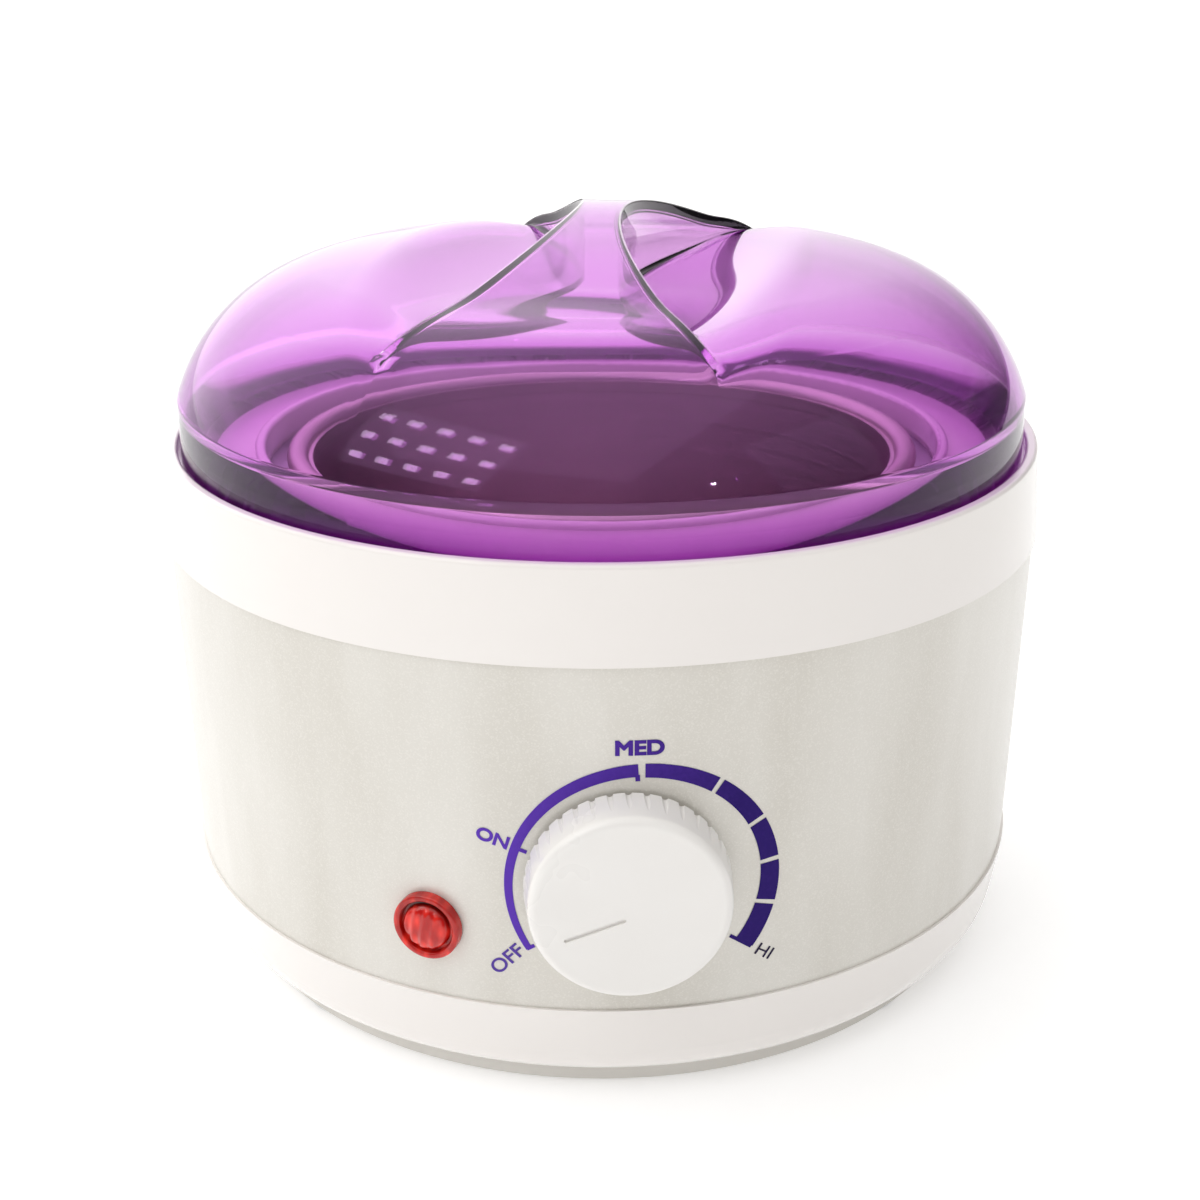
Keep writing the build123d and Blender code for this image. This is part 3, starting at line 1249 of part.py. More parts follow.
def dome_solid(inset, foot_wall):
    """Skirt, shoulder and crown of the lid as one solid, set in by one depth above and by another at the foot."""
    shoulder = SHOULDER_RADIUS - inset
    crown = crown_radius - inset
    crown_tilt = math.atan2(shoulder_r, shoulder_z - crown_z)
    shoulder_start = (shoulder_r + math.sqrt(shoulder**2 - SHOULDER_DROP**2), skirt_top_z)
    shoulder_end = (crown * math.sin(crown_tilt), crown_z + crown * math.cos(crown_tilt))
    with BuildPart() as dome:
        with BuildSketch(Plane.XZ):
            with BuildLine():
                RadiusArc(shoulder_start, shoulder_end, -shoulder)
                RadiusArc(shoulder_end, (0, dome_top_z - inset), -crown)
                Polyline((0, dome_top_z - inset), (0, seat_z), (lid_r - foot_wall, seat_z), shoulder_start)
            make_face()
        revolve(axis=Axis.Z)
    return dome.part


def crest_solid(inset):
    """Waisted handle under its arched crest, with every surface set in by a distance."""
    crest = CREST_RADIUS - inset
    with BuildPart() as ridge:
        with BuildSketch(handle_plane.offset(seat_z + SKIRT_HEIGHT)):
            Rectangle(2 * shoulder_r, HANDLE_LENGTH)
            with Locations((-WAIST_HALF_WIDTH - WAIST_RADIUS, 0), (WAIST_HALF_WIDTH + WAIST_RADIUS, 0)):
                Circle(WAIST_RADIUS + inset, mode=Mode.SUBTRACT)
        extrude(amount=crest_top_z - skirt_top_z)
        with BuildSketch(Plane(origin=(0, 0, 0), x_dir=handle_plane.y_dir, z_dir=handle_plane.x_dir)):
            with Locations((0, crest_top_z - CREST_RADIUS)):
                Circle(crest)
        extrude(amount=shoulder_r, both=True, mode=Mode.INTERSECT)
    return ridge.part


def scoop_solid(side, inset):
    """Hollow for the fingers beside the handle, with every surface set out by a distance."""
    tube = SCOOP_ROUND + inset
    tube_circle = SCOOP_SWEEP - SCOOP_ROUND
    hub = Plane(
        origin=handle_plane.x_dir * side * SCOOP_OFFSET + Vector(0, 0, scoop_floor_z + SCOOP_SWEEP),
        z_dir=handle_plane.x_dir,
    )
    with BuildPart() as scoop:
        with BuildSketch(handle_plane.offset(skirt_top_z)):
            with Locations((side * (WAIST_HALF_WIDTH + WAIST_RADIUS), 0)):
                Circle(WAIST_RADIUS + inset)
        extrude(amount=2 * DOME_RISE)
        with Locations(Location(hub)):
            Torus(tube_circle, tube, mode=Mode.INTERSECT)
    return scoop.part


def lid_form(inset, foot_wall):
    """Dome and handle with their scoops cut, as one solid, set in by one depth above and by another at the foot."""
    with BuildPart() as form:
        add(dome_solid(inset, foot_wall))
        add(crest_solid(inset))
        for side in (-1, 1):
            add(scoop_solid(side, inset), mode=Mode.SUBTRACT)
    return form.part


with BuildPart() as lid:
    add(lid_form(0, 0))
    add(lid_form(LID_WALL, LID_FOOT_WALL), mode=Mode.SUBTRACT)
save(lid, "lid")
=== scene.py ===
import logging
from collections.abc import Iterable
from dataclasses import dataclass
from enum import Enum
from math import acos, asin, atan2, copysign, cos, degrees, hypot, pi, radians, sin, sqrt, tau

import bmesh
import bpy
from mathutils import Matrix, Vector


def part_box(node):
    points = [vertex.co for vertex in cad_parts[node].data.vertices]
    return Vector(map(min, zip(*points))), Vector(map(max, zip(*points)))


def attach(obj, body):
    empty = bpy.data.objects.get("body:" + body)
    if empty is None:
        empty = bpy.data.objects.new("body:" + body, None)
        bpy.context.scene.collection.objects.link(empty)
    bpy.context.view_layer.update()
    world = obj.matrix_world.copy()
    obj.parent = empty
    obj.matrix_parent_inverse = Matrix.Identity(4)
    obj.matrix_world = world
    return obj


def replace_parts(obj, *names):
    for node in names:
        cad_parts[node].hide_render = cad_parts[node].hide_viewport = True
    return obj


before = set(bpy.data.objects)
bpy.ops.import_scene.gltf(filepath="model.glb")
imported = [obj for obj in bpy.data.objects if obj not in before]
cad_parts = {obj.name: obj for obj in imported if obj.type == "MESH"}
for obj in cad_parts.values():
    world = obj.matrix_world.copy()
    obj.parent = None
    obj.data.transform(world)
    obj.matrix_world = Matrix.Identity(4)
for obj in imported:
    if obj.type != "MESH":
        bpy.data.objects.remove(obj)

LOG = logging.getLogger("wax_warmer")
MM = 0.001
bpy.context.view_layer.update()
FULL = (0.0, 1.0)
MOST = (0.3, 0.7)  # where most of a noise's values lie
WAVE_PHASE = 20  # radians that a wave texture gains over one unit

Tree = bpy.types.NodeTree
Socket = bpy.types.NodeSocket
Shape = bmesh.types.BMesh
Pair = tuple[float, float]
Place = tuple[float, float, float]


# --- Tools for finishes ---


def linear(code: str) -> tuple[float, float, float, float]:
    """Turn an sRGB hex colour to linear light.

    Args:
        code: six hex digits, with no hash sign.

    Returns:
        Red, green, blue and full opacity.
    """
    parts = [int(code[i : i + 2], 16) / 255 for i in (0, 2, 4)]
    red, green, blue = (c / 12.92 if c <= 0.04045 else ((c + 0.055) / 1.055) ** 2.4 for c in parts)
    return red, green, blue, 1.0


def add_node(tree: Tree, kind: str, settings: dict | None = None, inputs: dict | None = None) -> bpy.types.Node:
    """Add a shader node with its settings and links.

    Args:
        tree: the node tree.
        kind: Blender's name for the node type, without ShaderNode.
        settings: properties of the node.
        inputs: values for its sockets, by name or index; an output socket is linked.

    Returns:
        The new node.
    """
    node = tree.nodes.new("ShaderNode" + kind)
    for key, value in (settings or {}).items():
        setattr(node, key, value)
    for key, value in (inputs or {}).items():
        if isinstance(value, Socket):
            tree.links.new(value, node.inputs[key])
        else:
            node.inputs[key].default_value = value
    return node


def per_metre(size: float) -> float:
    """Scale of a pattern whose features are this many millimetres across."""
    return 1 / (size * MM)


def own_place(tree: Tree) -> Socket:
    """Return the socket with the piece's own coordinates."""
    return add_node(tree, "TexCoord").outputs["Object"]


def noise(tree: Tree, place: Socket, size: float, detail: float = 2.0, rough: float = 0.5) -> Socket:
    """Return smooth noise from 0 to 1, with features of one size and octaves of finer detail."""
    inputs = {"Vector": place, "Scale": per_metre(size), "Detail": detail, "Roughness": rough}
    return add_node(tree, "TexNoise", None, inputs).outputs["Fac"]


def remap(tree: Tree, value: Socket, source: Pair, target: Pair) -> Socket:
    """Return a value carried from its source range over to a target range, and held there."""
    ends = {"From Min": source[0], "From Max": source[1], "To Min": target[0], "To Max": target[1]}
    return add_node(tree, "MapRange", None, {"Value": value, **ends}).outputs[0]


def calculate(tree: Tree, operation: str, first: Socket, second: Socket, clamp: bool = False) -> Socket:
    """Return two values combined by a math operation, held from 0 to 1 where clamped."""
    return add_node(tree, "Math", {"operation": operation, "use_clamp": clamp}, {0: first, 1: second}).outputs[0]


def blend(tree: Tree, share: Socket, first: Socket | str, second: Socket | str) -> Socket:
    """Return two colours, given as sockets or hex digits, mixed by the share of the second one."""
    ends = {key: linear(end) if isinstance(end, str) else end for key, end in ((6, first), (7, second))}
    return add_node(tree, "Mix", {"data_type": "RGBA"}, {"Factor": share, **ends}).outputs[2]


def placed(tree: Tree, place: Socket, **change: Place) -> Socket:
    """Return coordinates turned or scaled: a small scale draws a pattern out."""
    return add_node(tree, "Mapping", None, {"Vector": place, **change}).outputs[0]


def axes(tree: Tree, place: Socket) -> tuple[Socket, ...]:
    """Return the sockets with the three parts of a vector."""
    return tuple(add_node(tree, "SeparateXYZ", None, {0: place}).outputs)


def flat_reach(tree: Tree, first: Socket, second: Socket) -> tuple[Socket, Socket]:
    """Return two coordinates as a vector in a plane, and its distance from the origin."""
    plane = add_node(tree, "CombineXYZ", None, {0: first, 1: second}).outputs[0]
    return plane, add_node(tree, "VectorMath", {"operation": "LENGTH"}, {0: plane}).outputs["Value"]


def relief(tree: Tree, height: Socket, strength: float, depth: float) -> Socket:
    """Return a normal bent to a height from 0 to 1, whose full depth is in millimetres."""
    inputs = {"Strength": strength, "Distance": depth * MM, "Height": height}
    return add_node(tree, "Bump", None, inputs).outputs["Normal"]


def coat_with(tree: Tree, inputs: dict) -> None:
    """Add the principled shader with its inputs, and the output."""
    shader = add_node(tree, "BsdfPrincipled", None, inputs)
    add_node(tree, "OutputMaterial", None, {"Surface": shader.outputs[0]})


class Lay(Enum):
    """Direction in which the marks of making run on a metal surface."""

    ROUND = None  # spun or turned about the upright axis
    UPRIGHT = (1.0, 1.0, 0.04)
    LEVEL = (0.04, 0.04, 1.0)
    PLAIN = (1.0, 1.0, 1.0)  # plated or pickled, with no direction


@dataclass(frozen=True)
class Finish:
    """A finish by name. Each kind builds its own shader."""

    name: str

    def shade(self, tree: Tree) -> None:
        """Build the shader's nodes in an empty tree."""
        raise NotImplementedError

    def material(self) -> bpy.types.Material:
        """Return the material, which is built the first time it is asked for."""
        found = bpy.data.materials.get(self.name)
        if found:
            return found
        made = bpy.data.materials.new(self.name)
        made.use_nodes = True
        made.node_tree.nodes.clear()
        self.shade(made.node_tree)
        return made


@dataclass(frozen=True)
class MouldedPlastic(Finish):
    """Injection-moulded plastic: a skin as smooth as its mould, with faint flow clouds and orange peel."""

    colour: str
    cloud: str  # the second colour that the flow clouds drift to
    roughness: float
    cloud_size: float
    peel_size: float
    peel_depth: float = 0.01
    coat: float = 0.0
    soft: float = 0.0  # light that enters and leaves again, as in natural nylon
    gloss_drift: Pair = (0.85, 1.15)

    def shade(self, tree: Tree) -> None:
        """Build clouds on the colour and the gloss, and peel on the normal.

        Args:
            tree: the material's node tree.
        """
        place = own_place(tree)
        clouds = noise(tree, place, self.cloud_size, 3.0, 0.55)
        low, high = self.gloss_drift
        coat_with(tree, {
            "Base Color": blend(tree, clouds, self.colour, self.cloud),
            "Roughness": remap(tree, clouds, MOST, (self.roughness * low, self.roughness * high)),
            "IOR": 1.5, "Coat Weight": self.coat, "Coat Roughness": 0.08,
            "Subsurface Weight": self.soft, "Subsurface Radius": (0.004, 0.003, 0.002), "Subsurface Scale": 0.5,
            "Normal": relief(tree, noise(tree, place, self.peel_size), 0.35, self.peel_depth),
        })


@dataclass(frozen=True)
class PearlLacquer(Finish):
    """ABS under a warm silver pearl lacquer: fine mica flakes that glint one by one, under a clear coat."""

    colour: str = "DEDBD4"
    flake: str = "EFECE6"
    shade_colour: str = "D2CEC5"
    flake_size: float = 0.25  # coarser than real mica, so that it shows
    bright_flakes: Pair = (0.6, 1.0)
    streak: float = 22.0  # soft upright streaks from the spray gun
    streak_edge: Pair = (0.35, 0.65)

    def shade(self, tree: Tree) -> None:
        """Build flakes and spray streaks on the colour and the gloss.

        Args:
            tree: the material's node tree.
        """
        place = own_place(tree)
        flakes = add_node(tree, "TexVoronoi", None, {"Vector": place, "Scale": per_metre(self.flake_size)})
        glint = add_node(tree, "SeparateColor", None, {"Color": flakes.outputs["Color"]}).outputs
        streaks = noise(tree, placed(tree, place, Scale=(1.0, 1.0, 0.25)), self.streak, 4.0)
        ground = blend(tree, remap(tree, streaks, self.streak_edge, FULL), self.colour, self.shade_colour)
        coat_with(tree, {
            "Base Color": blend(tree, remap(tree, glint[0], self.bright_flakes, (0.0, 0.3)), ground, self.flake),
            "Metallic": 0.15, "Roughness": remap(tree, glint[1], FULL, (0.3, 0.42)),
            "Coat Weight": 0.4, "Coat Roughness": 0.1, "Normal": relief(tree, glint[2], 0.05, 0.01),
        })


@dataclass(frozen=True)
class WorkedMetal(Finish):
    """Metal with the marks of its making: spun rings, drawn lines or the even grain of a plated skin."""

    colour: str
    stain: str
    roughness: float
    lay: Lay = Lay.PLAIN
    pitch: float = 0.8  # from one mark to the next
    depth: float = 0.01
    stain_size: float = 25.0
    gloss_drift: Pair = (0.75, 1.3)

    def marks(self, tree: Tree, place: Socket) -> Socket:
        """Build the pattern of marks.

        Args:
            tree: the node tree.
            place: the piece's own coordinates.

        Returns:
            The socket with the height of the marks, from 0 to 1.
        """
        if self.lay is Lay.ROUND:
            along = axes(tree, place)
            reach = flat_reach(tree, along[0], along[1])[1]
            source = flat_reach(tree, reach, along[2])[0]
        else:
            source = placed(tree, place, Scale=self.lay.value)
        return noise(tree, source, self.pitch, 4.0, 0.65)

    def shade(self, tree: Tree) -> None:
        """Build marks on the gloss and the normal, and a slow stain on the colour.

        Args:
            tree: the material's node tree.
        """
        place = own_place(tree)
        marks = self.marks(tree, place)
        low, high = self.gloss_drift
        coat_with(tree, {
            "Base Color": blend(tree, noise(tree, place, self.stain_size, 3.0), self.colour, self.stain),
            "Metallic": 1.0, "Normal": relief(tree, marks, 0.5, self.depth),
            "Roughness": remap(tree, marks, MOST, (self.roughness * low, self.roughness * high)),
        })


@dataclass(frozen=True)
class ClearTint(Finish):
    """Clear dyed acrylic: pale where light crosses one wall, deep where it runs along one."""

    dye: Place = (0.66, 0.004, 0.73)  # colour that the dye lets through, in linear light
    strength: float = 330.0  # dye taken up in one metre
    gloss: str = "E9C4F4"  # reflections take a little of the dye's colour
    veil: Place = (0.9, 0.72, 0.92)  # what lamps lose on their way in

    def shade(self, tree: Tree) -> None:
        """Build clear plastic with dye in its depth, which lets lamps through.

        Args:
            tree: the material's node tree.
        """
        clear = add_node(tree, "BsdfPrincipled", None, {
            "Base Color": (1.0, 1.0, 1.0, 1.0), "Roughness": 0.03, "IOR": 1.49, "Transmission Weight": 1.0,
            "Specular Tint": linear(self.gloss),
        })
        through = add_node(tree, "BsdfTransparent", None, {"Color": (*self.veil, 1.0)})
        shadow = add_node(tree, "LightPath").outputs["Is Shadow Ray"]
        skin = add_node(tree, "MixShader", None, {0: shadow, 1: clear.outputs[0], 2: through.outputs[0]})
        depth = add_node(tree, "VolumeAbsorption", None, {"Color": (*self.dye, 1.0), "Density": self.strength})
        add_node(tree, "OutputMaterial", None, {"Surface": skin.outputs[0], "Volume": depth.outputs[0]})


@dataclass(frozen=True)
class RedLens(Finish):
    """Moulded red polycarbonate, with painted shade in its groove, strongest at the top, and painted highlights in
    spots on its face.
    """

    turn: float = -20.4
    height: float = 36.0
    body: str = "BC120E"
    # painted highlight: the colour of the glinting spots on the face
    bright: str = "FF3A2C"
    # painted shade: the colour laid into the groove and faintly over the rim
    deep: str = "380704"
    groove: float = 4.5
    groove_edge: Pair = (-0.5, 0.1)
    rim: float = 5.4
    rim_edge: float = 0.5
    blob: float = 1.5  # from one painted highlight spot to the next
    blob_edge: Pair = (0.15, 0.5)
    lean: float = 10.0

    def shade(self, tree: Tree) -> None:
        """Build painted highlights in spots on the face, and painted shade in the groove, strongest at its top.

        Args:
            tree: the material's node tree.
        """
        turned = add_node(tree, "Mapping", {"vector_type": "TEXTURE"}, {
            "Vector": own_place(tree), "Location": (0, 0, self.height * MM),
            "Rotation": (0, 0, radians(self.turn)),
        })
        along = axes(tree, turned.outputs[0])
        face, reach = flat_reach(tree, along[0], along[2])
        # painted shade: strongest in the groove, easing off over the rim, and heaviest at the top
        groove = remap(tree, reach, tuple((self.groove + edge) * MM for edge in self.groove_edge), FULL)
        rim = remap(tree, reach, ((self.rim - self.rim_edge) * MM, self.rim * MM), (1.0, 0.3))
        top = remap(tree, along[2], (0.0, self.groove * MM), (0.3, 1.0))
        dark = calculate(tree, "MULTIPLY", calculate(tree, "MULTIPLY", groove, rim), top)
        # painted highlights: spots on the face where the prisms would catch light
        upright = placed(tree, face, Rotation=(0, 0, radians(self.lean)), Scale=(1.0, 0.45, 1.0))
        inputs = {"Vector": upright, "Scale": per_metre(self.blob), "Randomness": 0.6}
        spots = add_node(tree, "TexVoronoi", {"feature": "SMOOTH_F1"}, inputs)
        spark = remap(tree, spots.outputs["Distance"], self.blob_edge, (1.0, 0.0))
        coat_with(tree, {
            "Base Color": blend(tree, dark, blend(tree, spark, self.body, self.bright), self.deep),
            "Roughness": 0.15, "IOR": 1.45, "Coat Weight": 0.25, "Coat Roughness": 0.03,
        })


@dataclass(frozen=True)
class PrintedInk(Finish):
    """Screen-printed ink: flat and slightly raised, with a colour that grows darker from left to right."""

    # the print's colour at its left end and at its right end; it grows darker towards the right
    thin: str
    heavy: str
    left: float = -16.0
    right: float = 24.0
    mottle: float = 0.12
    mottle_size: float = 0.7

    def shade(self, tree: Tree) -> None:
        """Build a colour that deepens across the print, with the mesh's faint mottle.

        Args:
            tree: the material's node tree.
        """
        place = own_place(tree)
        across = remap(tree, axes(tree, place)[0], (self.left * MM, self.right * MM), FULL)
        shift = remap(tree, noise(tree, place, self.mottle_size), FULL, (-self.mottle, self.mottle))
        level = calculate(tree, "ADD", across, shift, clamp=True)
        coat_with(tree, {
            "Base Color": blend(tree, level, self.thin, self.heavy), "Roughness": 0.5, "Specular IOR Level": 0.12,
        })


@dataclass(frozen=True)
class GlassBraid(Finish):
    """Sleeve braided from glass yarn: crossing strands that shade each other."""

    colour: str = "E4DFD2"
    shadow: str = "A79F8C"
    strand: float = 0.9  # a strand's width over two pi
    lean: float = 45.0

    def shade(self, tree: Tree) -> None:
        """Build two families of slanting strands.

        Args:
            tree: the material's node tree.
        """
        place = own_place(tree)
        heights = []
        for angle in (-self.lean, self.lean):
            slant = placed(tree, place, Rotation=(0, radians(angle), 0))
            inputs = {"Vector": slant, "Scale": per_metre(self.strand) / WAVE_PHASE}
            heights.append(add_node(tree, "TexWave", {"bands_direction": "Z"}, inputs).outputs["Fac"])
        braid = calculate(tree, "MAXIMUM", *heights)
        coat_with(tree, {
            "Base Color": blend(tree, braid, self.shadow, self.colour), "Roughness": 0.8, "Sheen Weight": 0.2,
            "Normal": relief(tree, braid, 1.0, 0.2),
        })


@dataclass(frozen=True)
class ClearGlass(Finish):
    """Drawn glass of the neon lamp's tube, with a warm cast from its gas."""

    cast: str = "FFE2CC"

    def shade(self, tree: Tree) -> None:
        """Build clear glass."""
        coat_with(tree, {
            "Base Color": linear(self.cast), "Roughness": 0.02, "IOR": 1.5, "Transmission Weight": 0.9,
        })


@dataclass(frozen=True)
class StudioPaper(Finish):
    """White background paper, even and matt, with a little light of its own from below."""

    glow: float = 0.3

    def shade(self, tree: Tree) -> None:
        """Build flat white paper."""
        coat_with(tree, {
            "Base Color": (0.84, 0.84, 0.84, 1.0), "Roughness": 0.9, "Specular IOR Level": 0.1,
            "Emission Color": (1.0, 1.0, 1.0, 1.0), "Emission Strength": self.glow,
        })


# A plastic's numbers are its roughness and the sizes of its clouds and of its peel.
CASE_WHITE = MouldedPlastic("gloss_white_abs", "F4F0EC", "EFEAE6", 0.22, 60.0, 2.0, coat=0.4)
KNOB_WHITE = MouldedPlastic("satin_white_abs", "F3F1EE", "EEEBE7", 0.3, 20.0, 0.8, coat=0.2)
COVER_WHITE = MouldedPlastic("spark_textured_abs", "E6E3DD", "DEDAD3", 0.6, 50.0, 0.6, peel_depth=0.05)
PANEL_PEARL = PearlLacquer("pearl_lacquered_abs")
FOOT_RUBBER = MouldedPlastic("grey_elastomer", "A5A2A0", "979492", 0.75, 15.0, 0.7, peel_depth=0.06)
SILICONE = MouldedPlastic("white_silicone", "DAD7D0", "D0CCC4", 0.55, 20.0, 0.8, soft=0.2)
POT_ALUMINIUM = WorkedMetal("spun_aluminium", "D0C9C4", "BDB4AE", 0.36, Lay.ROUND, pitch=0.6, depth=0.004)
WELL_ALUMINIUM = WorkedMetal("drawn_aluminium", "B9BABC", "A6A6A8", 0.35, Lay.UPRIGHT, pitch=0.6, depth=0.01)
SHIELD_ALUMINIUM = WorkedMetal("pressed_aluminium", "C0C1C3", "B0B0B2", 0.32, Lay.LEVEL, pitch=0.5)
ZINC = WorkedMetal("zinc_plated_steel", "B9BBBE", "A2A5A9", 0.33, pitch=0.6, depth=0.004)
SHEATH = WorkedMetal("heat_tinted_steel", "9C968C", "7C7264", 0.42, Lay.LEVEL, pitch=0.7)
STRIP = WorkedMetal("spring_steel_strip", "A7A9AC", "8D8F93", 0.3, Lay.LEVEL, pitch=0.4)
BRASS = WorkedMetal("turned_brass", "D1B06B", "B5914D", 0.28, pitch=0.4, depth=0.006)
NICKEL = WorkedMetal("nickelled_brass", "CFCBC2", "BDB8AC", 0.22, pitch=0.4, depth=0.004)
STEATITE = MouldedPlastic("steatite_ceramic", "E2DCCB", "D6CEBA", 0.55, 8.0, 0.4, peel_depth=0.03)
RESISTOR = MouldedPlastic("lacquered_resistor", "C9AE7C", "BD9F6B", 0.35, 2.0, 0.3)
FUSE_CAN = WorkedMetal("lacquered_fuse_can", "CDBE9A", "BCA980", 0.35, Lay.UPRIGHT, pitch=0.3)
BRAID = GlassBraid("braided_glass_sleeve")
INLET_BLACK = MouldedPlastic("black_polyamide", "17171A", "1E1E21", 0.42, 12.0, 0.5, peel_depth=0.03)
NYLON = MouldedPlastic("natural_nylon", "E4E0D2", "DBD6C4", 0.45, 8.0, 0.6, soft=0.3)
WIRE_BROWN, WIRE_BLUE, WIRE_WHITE = (
    MouldedPlastic(f"{name}_silicone_wire", colour, cloud, 0.5, 6.0, 0.5)
    for name, colour, cloud in (
        ("brown", "5B3A26", "4D301F"), ("blue", "2B5C9E", "244F8B"), ("white", "E3E0D8", "D8D4CA"),
    )
)
LID_PURPLE = ClearTint("clear_purple_acrylic")
LENS_RED = RedLens("red_polycarbonate")
NEON_GLASS = ClearGlass("neon_tube_glass")
INK = PrintedInk("violet_screen_ink", "5F38B4", "270C68")
INK_FINE = PrintedInk("grey_screen_ink", "5B43A0", "2C2440")


# --- Tools for pieces ---


def new_object(name: str, data: bpy.types.ID) -> bpy.types.Object:
    """Make an object and put it in the scene.

    Args:
        name: its name.
        data: its mesh, curve, camera or lamp.

    Returns:
        The new object.
    """
    made = bpy.data.objects.new(name, data)
    bpy.context.scene.collection.objects.link(made)
    return made


def dress(node: str, finish: Finish) -> None:
    """Give a CAD node its finish.

    Args:
        node: the node's name.
        finish: its finish.
    """
    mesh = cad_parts[node].data
    mesh.materials.clear()
    mesh.materials.append(finish.material())
    LOG.info("%s: %s", node, finish.name)


def piece(name: str, shape: Shape, finish: Finish, body: str, smooth: float = 35.0) -> bpy.types.Object:
    """Turn a finished bmesh, in metres and in place, into a piece that rides on a body.

    Args:
        name: the piece's name.
        shape: the mesh, which is freed.
        finish: its finish.
        body: the CAD body that carries it.
        smooth: edges flatter than this many degrees are shaded smooth.

    Returns:
        The new object.
    """
    mesh = bpy.data.meshes.new(name)
    for edge in shape.edges:
        edge.smooth = len(edge.link_faces) == 2 and edge.calc_face_angle(0.0) < radians(smooth)
    for face in shape.faces:
        face.smooth = True
    shape.to_mesh(mesh)
    shape.free()
    mesh.materials.append(finish.material())
    made = new_object(name, mesh)
    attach(made, body)
    LOG.info("%s rides on %s: %s", name, body, finish.name)
    return made


def between(ends: Pair, share: float) -> float:
    """Return the value a share of the way from one end to the other."""
    return ends[0] + (ends[1] - ends[0]) * share


def soft_min(a: float, b: float, reach: float) -> float:
    """Return the lesser of two heights, with a smooth hand-over where they differ by less than the reach."""
    near = max(reach - abs(a - b), 0.0) / reach
    return min(a, b) - near**3 * reach / 6


def turn_about_axis(shape: Shape, verts: Iterable[bmesh.types.BMVert], angle: float) -> None:
    """Turn vertices anticlockwise about the upright axis, by degrees."""
    bmesh.ops.rotate(shape, verts=verts, matrix=Matrix.Rotation(radians(angle), 3, "Z"))


def outward_frame(turn: float, radius: float, height: float) -> Matrix:
    """Frame on the case's skin: X to the right, Y up, Z out of the case.

    Args:
        turn: degrees to the right of the front.
        radius: distance of the frame's origin from the axis.
        height: height of that origin.

    Returns:
        Matrix from the frame, in millimetres, to the scene, in metres.
    """
    a = radians(turn)
    out = Vector((sin(a), -cos(a), 0))
    right = Vector((cos(a), sin(a), 0))
    matrix = Matrix((right, (0, 0, 1), out)).transposed().to_4x4()
    matrix.translation = out * radius + Vector((0, 0, height))
    return Matrix.Scale(MM, 4) @ matrix


@dataclass
class SubAssembly:
    """Group of CAD nodes with their finishes, and pieces of its own."""

    body: str = "warmer"

    def dressing(self) -> dict[str, Finish]:
        """Return the finish of each CAD node."""
        return {}

    def add_pieces(self) -> None:
        """Build the group's own pieces."""

    def build(self) -> None:
        """Dress the CAD nodes and add the pieces."""
        for node, finish in self.dressing().items():
            dress(node, finish)
        self.add_pieces()


# --- Case and panel ---


@dataclass
class Case(SubAssembly):
    """White base and top ring, pearl band, vented cover and its foot ring."""

    def dressing(self) -> dict[str, Finish]:
        """Return the case's finishes."""
        return {
            "base_shell": CASE_WHITE, "top_ring": CASE_WHITE, "body_band": PANEL_PEARL,
            "bottom_cover": COVER_WHITE, "anti_slip_ring": FOOT_RUBBER, "case_screws": ZINC,
            "well_gasket": SILICONE, "well_screws": ZINC,
        }


@dataclass(frozen=True)
class Word:
    """One printed word."""

    text: str
    size: float  # the letters' em
    bold: float  # how far their strokes are fattened
    middle: Pair  # the word's middle, along and up the skin
    lean: float  # degrees that the word is turned anticlockwise
    ink: PrintedInk


